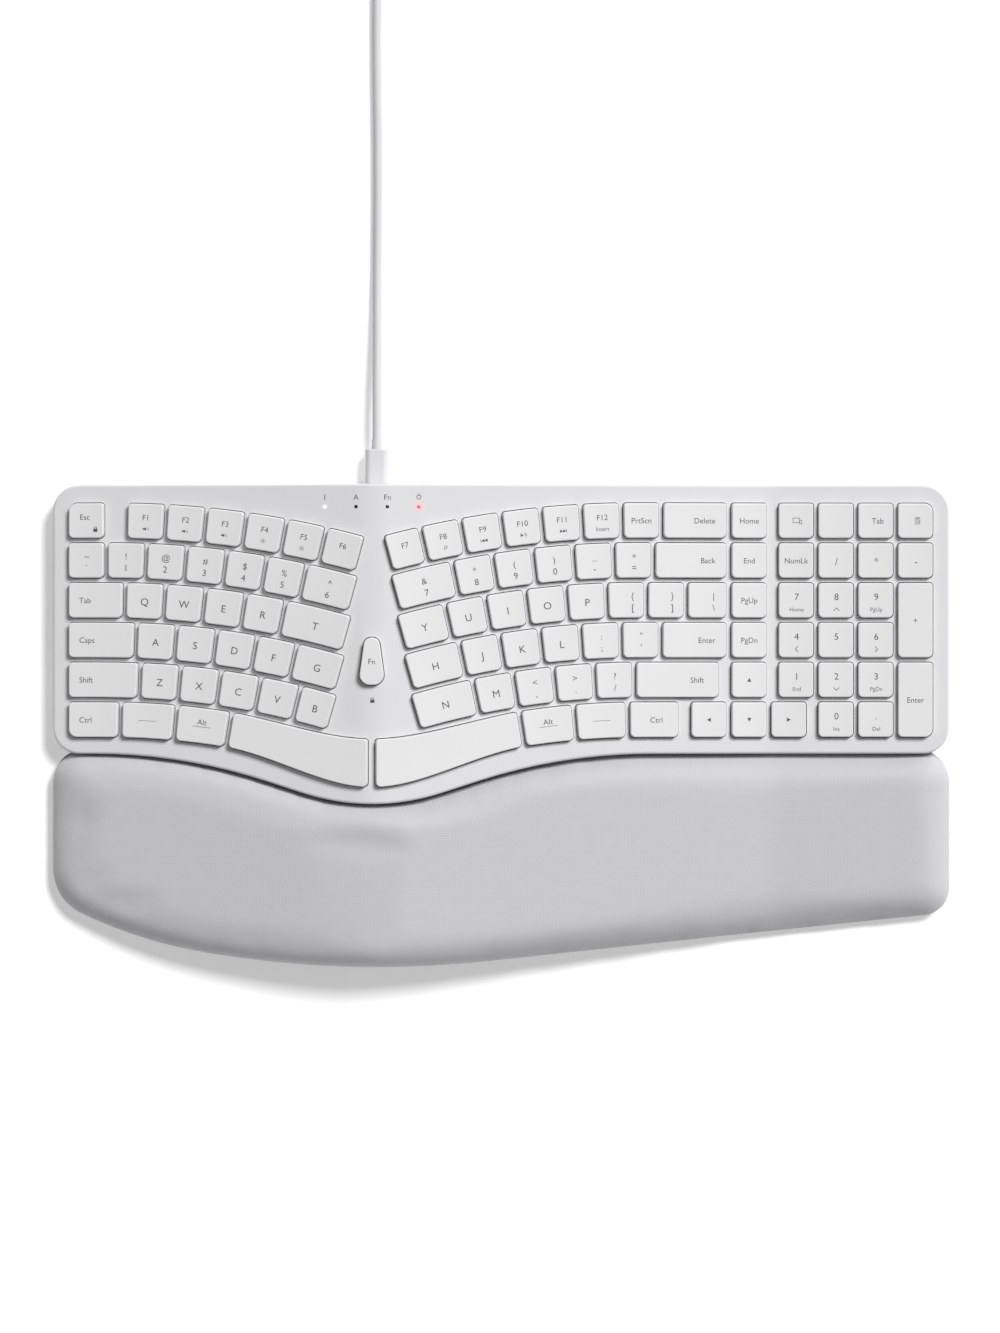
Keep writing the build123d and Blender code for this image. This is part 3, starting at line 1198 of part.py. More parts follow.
# Hard tray that carries the foam
TRAY_DROP = PALM_PAD_DEPTH + PALM_FIT
with BuildPart() as tray_cavity:
    extrude(palm_outline(CORE_INSET + TRAY_WALL, PALM_GAP, 0), amount=RIDGE_HEIGHT)
    with BuildSketch(Plane.XY):
        with Locations(*PALM_POSTS):
            Circle(PALM_POST_RADIUS)
    extrude(amount=RIDGE_HEIGHT, mode=Mode.SUBTRACT)
    keep_below_deck(-TRAY_DROP - TRAY_TOP, 0)
with BuildPart() as palm_rest_tray:
    extrude(palm_outline(CORE_INSET, PALM_GAP, PARTING_HEIGHT), amount=RIDGE_HEIGHT)
    keep_below_deck(-TRAY_DROP, PARTING_HEIGHT)
    extrude(palm_outline(0, PALM_GAP, PARTING_HEIGHT), amount=PALM_SKIRT_HEIGHT - PARTING_HEIGHT)
    add(tray_cavity.part, mode=Mode.SUBTRACT)
    with BuildSketch(Plane.XY.offset(PARTING_HEIGHT)):
        with Locations(*PALM_POSTS):
            Circle(SCREW_PILOT_RADIUS)
    extrude(amount=PALM_SCREW_LENGTH - SCREW_SINK, mode=Mode.SUBTRACT)
write(palm_rest_tray.part, "palm_rest_tray")

# Plug in the charging socket
with BuildPart() as usb_c_plug_shell:
    shell_start = REAR_Y + CHARGE_MOULD_GAP
    with BuildSketch(Plane.XZ.offset(-shell_start)):
        with Locations((SOCKET_X, SOCKET_HEIGHT_Z)):
            RectangleRounded(CHARGE_SHELL_WIDTH, CHARGE_SHELL_HEIGHT, CHARGE_SHELL_CORNER)
    extrude(amount=CHARGE_SHELL_LENGTH)
    with BuildSketch(Plane.XZ.offset(CHARGE_SHELL_LENGTH - shell_start)):
        with Locations((SOCKET_X, SOCKET_HEIGHT_Z)):
            RectangleRounded(
                CHARGE_SHELL_WIDTH - 2 * CHARGE_SHELL_SHEET,
                CHARGE_SHELL_HEIGHT - 2 * CHARGE_SHELL_SHEET,
                CHARGE_SHELL_CORNER - CHARGE_SHELL_SHEET,
            )
    extrude(amount=CHARGE_SHELL_SHEET - CHARGE_SHELL_LENGTH, mode=Mode.SUBTRACT)
write(usb_c_plug_shell.part, "usb_c_plug_shell")

with BuildPart() as usb_c_plug_overmould:
    with BuildSketch(Plane.XZ.offset(-shell_start)):
        with Locations((SOCKET_X, SOCKET_HEIGHT_Z)):
            RectangleRounded(CHARGE_MOULD_WIDTH, CHARGE_MOULD_HEIGHT, CHARGE_MOULD_CORNER)
    extrude(amount=-CHARGE_MOULD_LENGTH)
    fillet(usb_c_plug_overmould.edges().filter_by(Plane.XZ), CHARGE_MOULD_EDGE)
    with BuildSketch(Plane.XZ.offset(-shell_start - CHARGE_MOULD_LENGTH)):
        with Locations((SOCKET_X, SOCKET_HEIGHT_Z)):
            Circle(RELIEF_RADIUS)
    extrude(amount=-RELIEF_LENGTH)
write(usb_c_plug_overmould.part, "usb_c_plug_overmould")

# The lead
CABLE_START_Y = shell_start + CHARGE_MOULD_LENGTH + RELIEF_LENGTH


def fillet_radii(points):
    """Largest fitting radius at each corner of a route, as a share of the shorter run."""
    radii = []
    for before, corner, after in zip(points, points[1:], points[2:]):
        run_in = Vector(*corner) - Vector(*before)
        run_out = Vector(*after) - Vector(*corner)
        half_turn = radians(run_in.get_angle(run_out)) / 2
        radii.append(BEND_SHARE * min(run_in.length, run_out.length) / tan(half_turn))
    return radii


def print_tube(name, path, tube):
    """Print a tube's length, and its volume as a share of what that length holds."""
    length = sum(edge.length for edge in path.edges())
    print(name, round(length, 1), round(tube.volume / (length * pi * CABLE_RADIUS**2), 4))


def lead_tube(route, start_x, start_y):
    """Round tube along straight runs joined by tangent arcs."""
    points = [(start_x + x, start_y + y, z) for x, y, z in route]
    radii = fillet_radii(points)
    print("lead radii", [round(radius) for radius in radii])
    with BuildPart() as tube:
        with BuildLine() as path:
            FilletPolyline(*points, radius=radii)
        with BuildSketch(Plane(origin=path.line @ 0, z_dir=path.line % 0)):
            Circle(CABLE_RADIUS)
        sweep(path=path.line)
    print_tube("lead length", path.line, tube.part)
    return tube.part


COIL_START_Y = CABLE_START_Y + CABLE_ROUTE[-1][1]
COIL_X = SOCKET_X + COIL_OUTER_RADIUS


def coil_points():
    """Radius and height at each half turn: in on the lower layer, a climb, out on the upper one."""
    stations = []
    radius = COIL_OUTER_RADIUS
    for number in range(COIL_INWARD_HALF_TURNS):
        stations.append((radius, CABLE_RADIUS))
        radius -= COIL_PITCH / 2
    radius -= COIL_CLIMB_STEP
    stations.append((radius, CABLE_RADIUS))
    stations.append((radius, CABLE_RADIUS + COIL_LAYER))
    radius += COIL_CLIMB_STEP
    for number in range(COIL_OUTWARD_HALF_TURNS):
        radius += COIL_PITCH / 2
        stations.append((radius, CABLE_RADIUS + COIL_LAYER))
    return stations


def coil_path(middle_y):
    """Ends and middle of each half turn of the coil, as points."""
    arcs = []
    stations = coil_points()
    for number, (start, end) in enumerate(zip(stations, stations[1:])):
        side = -1 if number % 2 == 0 else 1
        first = Vector(COIL_X + side * start[0], middle_y, start[1])
        last = Vector(COIL_X - side * end[0], middle_y, end[1])
        middle = (first + last) / 2
        bulge = -side * (last - first).length / 2
        arcs.append((first, middle + Vector(0, bulge, 0), last))
    return arcs


COIL_MIDDLE_Y = COIL_START_Y + CABLE_DIAMETER
COIL_ARCS = coil_path(COIL_MIDDLE_Y)


def least_gap(arcs):
    """Least gap of the coil to itself, measured on points along its half turns."""
    points = []
    for first, middle, last in arcs:
        centre = (first + last) / 2
        for step in range(GAP_STEPS):
            angle = pi * step / GAP_STEPS
            points.append(centre + (first - centre) * cos(angle) + (middle - centre) * sin(angle))
    gaps = []
    for number, point in enumerate(points):
        for other in points[number + GAP_STEPS :]:
            gaps.append((point - other).length)
    return min(gaps) - CABLE_DIAMETER


print("coil least gap", round(least_gap(COIL_ARCS), 2))

with BuildPart() as usb_cable_coil:
    with BuildLine() as coil_line:
        Line((SOCKET_X, COIL_START_Y, CABLE_RADIUS), COIL_ARCS[0][0])
        for first, middle, last in COIL_ARCS:
            ThreePointArc(first, middle, last)
        coil_end = COIL_ARCS[-1][2]
        Line(coil_end, coil_end + Vector(0, CABLE_DIAMETER, 0))
    with BuildSketch(Plane(origin=(SOCKET_X, COIL_START_Y, CABLE_RADIUS), z_dir=(0, 1, 0))):
        Circle(CABLE_RADIUS)
    sweep(path=coil_line.line)
print_tube("coil length", coil_line.line, usb_cable_coil.part)
write(usb_cable_coil.part, "usb_cable_coil")

TAIL_X = coil_end.X
TAIL_Y = coil_end.Y + CABLE_DIAMETER
with BuildPart() as usb_cable:
    add(lead_tube(CABLE_ROUTE, SOCKET_X, CABLE_START_Y))
    add(lead_tube(TAIL_ROUTE, TAIL_X, TAIL_Y))
write(usb_cable.part, "usb_cable")

# Host plug at the far end, lying beside the coil
HOST_START_Y = TAIL_Y + TAIL_ROUTE[-1][1]
HOST_Z = HOST_MOULD_HEIGHT / 2
with BuildPart() as usb_a_plug_overmould:
    with BuildSketch(Plane.XZ.offset(-HOST_START_Y)):
        with Locations((TAIL_X, HOST_Z)):
            RectangleRounded(HOST_MOULD_WIDTH, HOST_MOULD_HEIGHT, CHARGE_MOULD_CORNER)
    extrude(amount=-HOST_MOULD_LENGTH)
    fillet(usb_a_plug_overmould.edges().filter_by(Plane.XZ), CHARGE_MOULD_EDGE)
write(usb_a_plug_overmould.part, "usb_a_plug_overmould")

HOST_SHELL_Y = HOST_START_Y + HOST_MOULD_LENGTH
with BuildPart() as usb_a_plug_shell:
    with BuildSketch(Plane.XZ.offset(-HOST_SHELL_Y)):
        with Locations((TAIL_X, HOST_Z)):
            Rectangle(HOST_SHELL_WIDTH, HOST_SHELL_HEIGHT)
            Rectangle(
                HOST_SHELL_WIDTH - 2 * HOST_SHELL_SHEET,
                HOST_SHELL_HEIGHT - 2 * HOST_SHELL_SHEET,
                mode=Mode.SUBTRACT,
            )
    extrude(amount=-HOST_SHELL_LENGTH)
    core_z = HOST_Z - HOST_SHELL_HEIGHT / 2 + HOST_SHELL_SHEET + HOST_CORE_HEIGHT / 2
    with BuildSketch(Plane.XZ.offset(-HOST_SHELL_Y)):
        with Locations((TAIL_X, core_z)):
            Rectangle(HOST_SHELL_WIDTH - 2 * HOST_SHELL_SHEET, HOST_CORE_HEIGHT)
    extrude(amount=HOST_SHELL_SHEET - HOST_SHELL_LENGTH)
write(usb_a_plug_shell.part, "usb_a_plug_shell")
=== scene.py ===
# %% [markdown]
# # Ergonomic split keyboard
# The CAD parts come in as a fixed frame. This script gives them their surfaces, prints the
# legends on the keys, upholsters the palm rest, lays the charging lead and lights the scene
# from the upper right, as in the photograph. Every length below is in millimetres until a
# point is handed to the scene, which works in metres.

import math

import bmesh
import bpy
import numpy as np
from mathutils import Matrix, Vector


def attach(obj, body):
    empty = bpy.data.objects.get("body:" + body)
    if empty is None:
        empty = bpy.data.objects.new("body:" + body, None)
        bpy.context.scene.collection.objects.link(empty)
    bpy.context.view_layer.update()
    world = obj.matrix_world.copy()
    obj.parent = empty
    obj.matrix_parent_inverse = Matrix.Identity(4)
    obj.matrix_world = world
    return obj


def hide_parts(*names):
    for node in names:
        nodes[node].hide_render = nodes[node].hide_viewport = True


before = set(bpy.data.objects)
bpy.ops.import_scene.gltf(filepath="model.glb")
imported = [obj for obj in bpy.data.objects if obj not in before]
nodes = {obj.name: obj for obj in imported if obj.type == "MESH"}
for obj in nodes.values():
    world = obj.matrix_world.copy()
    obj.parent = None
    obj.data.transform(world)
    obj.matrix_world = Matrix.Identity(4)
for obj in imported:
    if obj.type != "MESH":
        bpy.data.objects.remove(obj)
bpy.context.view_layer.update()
MM = 0.001


def add_object(name, data):
    """A new object in the scene."""
    item = bpy.data.objects.new(name, data)
    bpy.context.scene.collection.objects.link(item)
    return item


def evaluated_mesh(item):
    """The item's mesh with its modifiers applied."""
    graph = bpy.context.evaluated_depsgraph_get()
    graph.update()
    return bpy.data.meshes.new_from_object(item.evaluated_get(graph))

# %% [markdown]
# ## Surfaces
# Each material is named for the real one and how its surface was made. Colours are sRGB hex
# values that one function turns to linear, and pattern scales are real sizes.

# %% Material helpers
IOR = 1.5
# Width of the slow drift in a plastic's colour, and how far its gloss drifts
CLOUD = 30
GLOSS_DRIFT = 0.05


def linear(hex_colour):
    """Linear RGBA from an sRGB hex value."""
    values = [int(hex_colour[i : i + 2], 16) / 255 for i in (0, 2, 4)]
    return [v / 12.92 if v <= 0.04045 else ((v + 0.055) / 1.055) ** 2.4 for v in values] + [1]


def start_material(name, colour, roughness, metallic=0.0):
    """A new material with one Principled surface; returns it with its tree and surface."""
    material = bpy.data.materials.new(name)
    material.use_nodes = True
    tree = material.node_tree
    surface = tree.nodes["Principled BSDF"]
    surface.inputs["Base Color"].default_value = linear(colour)
    surface.inputs["Roughness"].default_value = roughness
    surface.inputs["Metallic"].default_value = metallic
    surface.inputs["IOR"].default_value = IOR
    return material, tree, surface


def add_noise(tree, size_mm, detail=2.0, stretch=(1, 1, 1)):
    """Noise in object coordinates whose features are about size_mm wide."""
    place = tree.nodes.new("ShaderNodeTexCoord")
    mapping = tree.nodes.new("ShaderNodeMapping")
    mapping.inputs["Scale"].default_value = stretch
    noise = tree.nodes.new("ShaderNodeTexNoise")
    noise.inputs["Scale"].default_value = 1 / (size_mm * MM)
    noise.inputs["Detail"].default_value = detail
    tree.links.new(place.outputs["Object"], mapping.inputs["Vector"])
    tree.links.new(mapping.outputs["Vector"], noise.inputs["Vector"])
    return noise.outputs["Fac"]


def add_bump(tree, surface, height, depth_mm, strength=1.0):
    """Bump the surface by depth_mm where height goes from 0 to 1."""
    bump = tree.nodes.new("ShaderNodeBump")
    bump.inputs["Strength"].default_value = strength
    bump.inputs["Distance"].default_value = depth_mm * MM
    tree.links.new(height, bump.inputs["Height"])
    tree.links.new(bump.outputs["Normal"], surface.inputs["Normal"])


def vary_roughness(tree, surface, factor, low, high):
    """Let roughness drift between low and high."""
    spread = tree.nodes.new("ShaderNodeMapRange")
    spread.inputs["To Min"].default_value = low
    spread.inputs["To Max"].default_value = high
    tree.links.new(factor, spread.inputs["Value"])
    tree.links.new(spread.outputs["Result"], surface.inputs["Roughness"])


def mix_colours(tree, surface, factor, first, second):
    """Base colour between two hex values."""
    mix = tree.nodes.new("ShaderNodeMix")
    mix.data_type = "RGBA"
    mix.inputs["A"].default_value = linear(first)
    mix.inputs["B"].default_value = linear(second)
    tree.links.new(factor, mix.inputs["Factor"])
    tree.links.new(mix.outputs["Result"], surface.inputs["Base Color"])


def moulded_plastic(name, colour, shade, roughness, grain_mm, depth_mm):
    """Plastic from a textured mould: a fine even grain and a barely uneven gloss."""
    material, tree, surface = start_material(name, colour, roughness)
    grain = add_noise(tree, grain_mm, 3.0)
    cloud = add_noise(tree, CLOUD, 1.0)
    add_bump(tree, surface, grain, depth_mm)
    vary_roughness(tree, surface, grain, roughness - GLOSS_DRIFT, roughness + GLOSS_DRIFT)
    mix_colours(tree, surface, cloud, colour, shade)
    return material


def sheet_metal(name, colour, roughness, stretch):
    """Rolled or drawn metal: fine streaks along one direction."""
    material, tree, surface = start_material(name, colour, roughness, 1.0)
    streaks = add_noise(tree, 0.6, 3.0, stretch)
    add_bump(tree, surface, streaks, 0.01)
    vary_roughness(tree, surface, streaks, roughness - 0.08, roughness + 0.1)
    return material

# %% Materials
# Spark-eroded mould grain about 0.3 mm wide breaks up the shine of the case's ABS
case_abs = moulded_plastic("case ABS, spark-eroded mould", "D3D3D4", "D0D0D2", 0.55, 0.3, 0.012)
base_abs = moulded_plastic("base ABS, coarse mould", "C2C2C4", "B9B9BB", 0.6, 0.5, 0.02)
# Keycaps are smoother than the case, so they hold a slightly brighter, tighter sheen
key_abs = moulded_plastic("keycap ABS, satin mould", "DCDCDC", "D9D9DA", 0.46, 0.22, 0.006)
inner_abs = moulded_plastic("inner ABS, plain mould", "8C8C8E", "858588", 0.5, 0.6, 0.01)
scissor_pom = moulded_plastic("scissor acetal, moulded", "E4E4DF", "DADAD4", 0.35, 0.8, 0.005)
silicone = moulded_plastic("dome silicone, moulded", "E0E0DA", "D6D6CE", 0.5, 0.8, 0.005)
foot_rubber = moulded_plastic("foot rubber, moulded", "1C1C1C", "252525", 0.75, 0.4, 0.02)
jacket = moulded_plastic("lead jacket, extruded TPE", "CBCBCC", "C7C7C8", 0.5, 0.4, 0.008)
foam = moulded_plastic("palm foam, foamed PU", "58585A", "4C4C4E", 0.9, 0.8, 0.2)
plate_steel = sheet_metal("plate steel, rolled", "A9AAAC", 0.35, (1, 20, 1))
wire_steel = sheet_metal("stabilizer steel, drawn", "B8B8B9", 0.3, (20, 1, 1))
screw_steel = sheet_metal("screw steel, plated", "B0B0B2", 0.3, (4, 4, 1))
plated_shell = sheet_metal("plug shell, nickel-plated", "C9C9CB", 0.22, (1, 12, 1))
film = moulded_plastic("membrane film, screen-printed", "BFCABF", "AFBBAF", 0.25, 1.5, 0.003)
board_lacquer = moulded_plastic(
    "circuit board, lacquered glass fibre", "1F5B33", "174827", 0.3, 1.2, 0.01
)
battery_foil = moulded_plastic("battery pouch, laminated foil", "B9BCC2", "A8ABB2", 0.4, 6.0, 0.1)
ribbon_film = moulded_plastic("flat cable, polyester film", "D9D1B6", "CBC3A8", 0.3, 2.0, 0.003)
window_pc = moulded_plastic("light window, polycarbonate", "E6E6E6", "DEDEDE", 0.15, 0.5, 0.002)
ink = moulded_plastic("legend ink, pad-printed", "4C4D50", "47484B", 0.6, 0.3, 0.002)
# Spacing of the weave's threads, and the width of one wave of the wave texture at scale 1
THREAD = 1.1
WAVE_WIDTH = math.pi * 2 / 20


def leatherette():
    """Coated fabric with a fine woven emboss, faint streaks and creases."""
    material, tree, surface = start_material("palm leatherette, embossed", "B9B9BB", 0.62)
    place = tree.nodes.new("ShaderNodeTexCoord")
    weave = tree.nodes.new("ShaderNodeMath")
    weave.operation = "MAXIMUM"
    for entry, direction in enumerate(("X", "Y")):
        wave = tree.nodes.new("ShaderNodeTexWave")
        wave.bands_direction = direction
        wave.inputs["Scale"].default_value = WAVE_WIDTH / (THREAD * MM)
        wave.inputs["Distortion"].default_value = 3.0
        wave.inputs["Detail"].default_value = 2
        wave.inputs["Detail Scale"].default_value = 3
        tree.links.new(place.outputs["Object"], wave.inputs["Vector"])
        tree.links.new(wave.outputs["Fac"], weave.inputs[entry])
    grain = add_noise(tree, 1.4, 4.0)
    height = tree.nodes.new("ShaderNodeMath")
    height.operation = "ADD"
    tree.links.new(weave.outputs["Value"], height.inputs[0])
    tree.links.new(grain, height.inputs[1])
    add_bump(tree, surface, height.outputs["Value"], 0.05, 0.8)
    streaks = add_noise(tree, 4, 4.0, (0.6, 1, 1))
    mix_colours(tree, surface, streaks, "B8B8BA", "BEBEC0")
    vary_roughness(tree, surface, weave.outputs["Value"], 0.55, 0.7)
    surface.inputs["Sheen Weight"].default_value = 0.15
    return material


leather = leatherette()


def glowing(name, colour, strength):
    """A lit status window."""
    material, tree, surface = start_material(name, colour, 0.3)
    surface.inputs["Emission Color"].default_value = linear(colour)
    surface.inputs["Emission Strength"].default_value = strength
    grain = add_noise(tree, 0.3)
    add_bump(tree, surface, grain, 0.005)
    return material

# %% Give the CAD parts their surfaces
finishes = {
    "top_case": case_abs,
    "bottom_case": base_abs,
    "support_plate": plate_steel,
    "membrane_circuit": film,
    "rubber_domes": silicone,
    "scissor_outer_frames": scissor_pom,
    "scissor_inner_frames": scissor_pom,
    "stabilizer_bars": wire_steel,
    "main_board": board_lacquer,
    "usb_c_socket": plated_shell,
    "battery_cell": battery_foil,
    "ribbon_cable": ribbon_film,
    "light_guides": window_pc,
    "power_switch_slider": inner_abs,
    "rubber_feet": foot_rubber,
    "tilt_leg_left": base_abs,
    "tilt_leg_right": base_abs,
    "case_screws": screw_steel,
    "palm_rest_tray": inner_abs,
    "palm_rest_foam": foam,
    "palm_rest_cover": leather,
    "usb_c_plug_shell": plated_shell,
    "usb_c_plug_overmould": jacket,
    "usb_cable": jacket,
    "usb_cable_coil": jacket,
    "usb_a_plug_shell": plated_shell,
    "usb_a_plug_overmould": jacket,
}
for name, node in nodes.items():
    node.data.materials.clear()
    node.data.materials.append(finishes.get(name, key_abs))

# %% [markdown]
# ## Where the keys are
# The deck is an arch: two flat flanks that meet in a rounded ridge, and a level part under the
# number pad. The rows of each half follow concentric arcs. These are the sizes of the CAD part.

# %% Deck and rows
SIDE_X = 214.25
REAR_Y = 114.8
FRONT_Y = -13.7
# The arch: heights of its edge and ridge, where its corners are and how they are rounded
DECK_EDGE = 12.5
RIDGE_RISE = 21.5
RIDGE_FROM_LEFT = 152.75
FLAT_FROM_RIGHT = 84.75
RIDGE_RADIUS = 60.0
FLAT_RADIUS = 80.0
RIDGE_X = RIDGE_FROM_LEFT - SIDE_X
FLAT_X = SIDE_X - FLAT_FROM_RIGHT
# The keys: their pitch, the bend of the first row, and the height and hollow of their tops
PITCH = 19.0
BEND_RADIUS = 456.0
FIRST_ROW_Y = REAR_Y - 17.2
FN_KEY_Y = REAR_Y - 84.35
KEY_TOP = 3.0
DISH = 0.25
# Print is a closed layer of this thickness whose upper side stands just clear of the surface
PRINT_LIFT = 0.03
LAYER = 0.1
left_slope = RIDGE_RISE / RIDGE_FROM_LEFT
right_slope = -RIDGE_RISE / (FLAT_X - RIDGE_X)


def rounded(x, corner_x, slope_in, slope_out, radius):
    """Height that an arc of this radius takes off the corner of two sloping lines at x."""
    half = (math.atan(slope_out) - math.atan(slope_in)) / 2
    reach = radius * math.tan(abs(half))
    inside = reach - abs(x - corner_x)
    return 0.0 if inside <= 0 else math.copysign(inside * inside / (2 * radius), half)


def deck_height(x, lift=0.0):
    """Height of the deck at x, moved square to itself by lift."""
    if x < RIDGE_X:
        z = DECK_EDGE + (x + SIDE_X) * left_slope
    elif x < FLAT_X:
        z = DECK_EDGE + (x - FLAT_X) * right_slope
    else:
        z = DECK_EDGE
    z += rounded(x, RIDGE_X, left_slope, right_slope, RIDGE_RADIUS + lift)
    z += rounded(x, FLAT_X, right_slope, 0.0, FLAT_RADIUS - lift)
    return z + lift


CROWN = deck_height(RIDGE_X)
# Longer than any row, so that a block with this straight run doesn't bend
NO_BEND = 999.0
# Each block: the X of its outer end, which way it runs, its straight run, and its slope
blocks = {
    "left": (-207.3, 1, 19.6, left_slope),
    "right": (108.3, -1, 42.7, right_slope),
    "navigation": (108.6, 1, NO_BEND, right_slope),
    "pad": (131.3, 1, NO_BEND, 0.0),
    "right_arrow": (127.8, 1, NO_BEND, 0.0),
}


def deck_point(block, row, along, rise):
    """Deck point at a distance along a row and rise behind its middle line."""
    outer_x, sign, straight, slope = blocks[block]
    radius = BEND_RADIUS - PITCH * row
    angle = max(0.0, along - straight) / radius
    x = outer_x + sign * (min(along, straight) + (radius + rise) * math.sin(angle))
    y = FIRST_ROW_Y - PITCH * row + rise - (radius + rise) * (1 - math.cos(angle))
    corner = (-SIDE_X, DECK_EDGE) if block == "left" else (FLAT_X, DECK_EDGE)
    return Vector((x, y, corner[1] + (x - corner[0]) * slope))


def key_frame(block, row, start, width, rows=1):
    """Origin and the three axes of a key's place."""
    last_row = row + rows - 1
    middle = deck_point(block, (row + last_row) / 2, start + width / 2, 0)
    first = deck_point(block, last_row, start, -PITCH / 2)
    second = deck_point(block, last_row, start + width, -PITCH / 2)
    x_axis = (second - first).normalized() * blocks[block][1]
    slope = blocks[block][3]
    z_axis = Vector((-slope, 0, 1)).normalized()
    return middle, x_axis, z_axis.cross(x_axis).normalized(), z_axis

# %% [markdown]
# ## Legends
# Letters, digits and key names are printed flat on the caps. Words and signs of a maker or a
# system are left off, so those keys are bare.

# %% Legend table
# One line of a legend is its text, X, Y, capital height and alignment. The name of a sign can
# stand for the text. Then the height is a bar's thickness, an arrow's turn, or not used.
LETTER = 3.6
WORD = 2.75
SMALL = 2.0
SHIFTED = 3.1
UNSHIFTED = 3.2
PAD_DIGIT = 3.3
# Most print stands a little to the right of the cap's middle
PRINT_X = 0.3
UPPER_Y = 1.8
LEFT_MARGIN = 6.1
RIGHT_MARGIN = 6.4
BAR = 0.18


def centred(text):
    """A letter in the middle of its cap."""
    return [(text, PRINT_X, -0.3, LETTER, "CENTER")]


def letters(text):
    """One cap for each letter of the text."""
    return [centred(letter) for letter in text]


def pairs(*texts, x=PRINT_X):
    """One cap for each text: its shifted character over the other one."""
    return [
        [(upper, x, 2.1, SHIFTED, "CENTER"), (lower, x, -3.4, UNSHIFTED, "CENTER")]
        for upper, lower in texts
    ]


def word(text, x=0.0, y=0.0, align="CENTER"):
    """The name of a key."""
    return [(text, x, y, WORD, align)]


def sign(name, x=0.0, y=0.0, measure=0.0):
    """A sign instead of text."""
    return [(name, x, y, measure, "CENTER")]


def function_key(text, lower):
    """A function key's name over a small sign or word."""
    lines = word(text, PRINT_X, UPPER_Y)
    return lines + ([(lower, PRINT_X, -3.7, SMALL, "CENTER")] if lower else [])


def from_left(text, width):
    """A name printed near the left end of a cap of this width."""
    return word(text, LEFT_MARGIN - width / 2, 0.0, "LEFT")


def from_right(text, width, margin=RIGHT_MARGIN):
    """A name printed near the right end of a cap of this width."""
    return word(text, width / 2 - margin, 0.0, "RIGHT")


def pad_digit(digit, lower):
    """A digit of the number pad over its second meaning."""
    lines = [(digit, PRINT_X, UPPER_Y, PAD_DIGIT, "CENTER")]
    return lines + ([(lower, PRINT_X, -4.3, SMALL, "CENTER")] if lower else [])


def units(*widths):
    """Widths of caps from widths in key pitches."""
    return [width * PITCH for width in widths]


ESCAPE = word("Esc", -0.6, UPPER_Y) + sign("lock", 4.6, -4.1)
ALT = word("Alt", 0.0, UPPER_Y) + sign("bar", 0.0, -0.5, 0.2)
LEFT_SIGNS = ("sound", "sound", "sound", "sun", "sun", "")
RIGHT_SIGNS = ("Insert", "next", "play", "back", "lens", "")
left_functions = [function_key(f"F{n + 1}", lower) for n, lower in enumerate(LEFT_SIGNS)]
right_functions = [function_key(f"F{12 - n}", lower) for n, lower in enumerate(RIGHT_SIGNS)]
pad_top = [sign("devices", 0.6), [], word("Tab", 1.0), sign("sums", 1.0)]

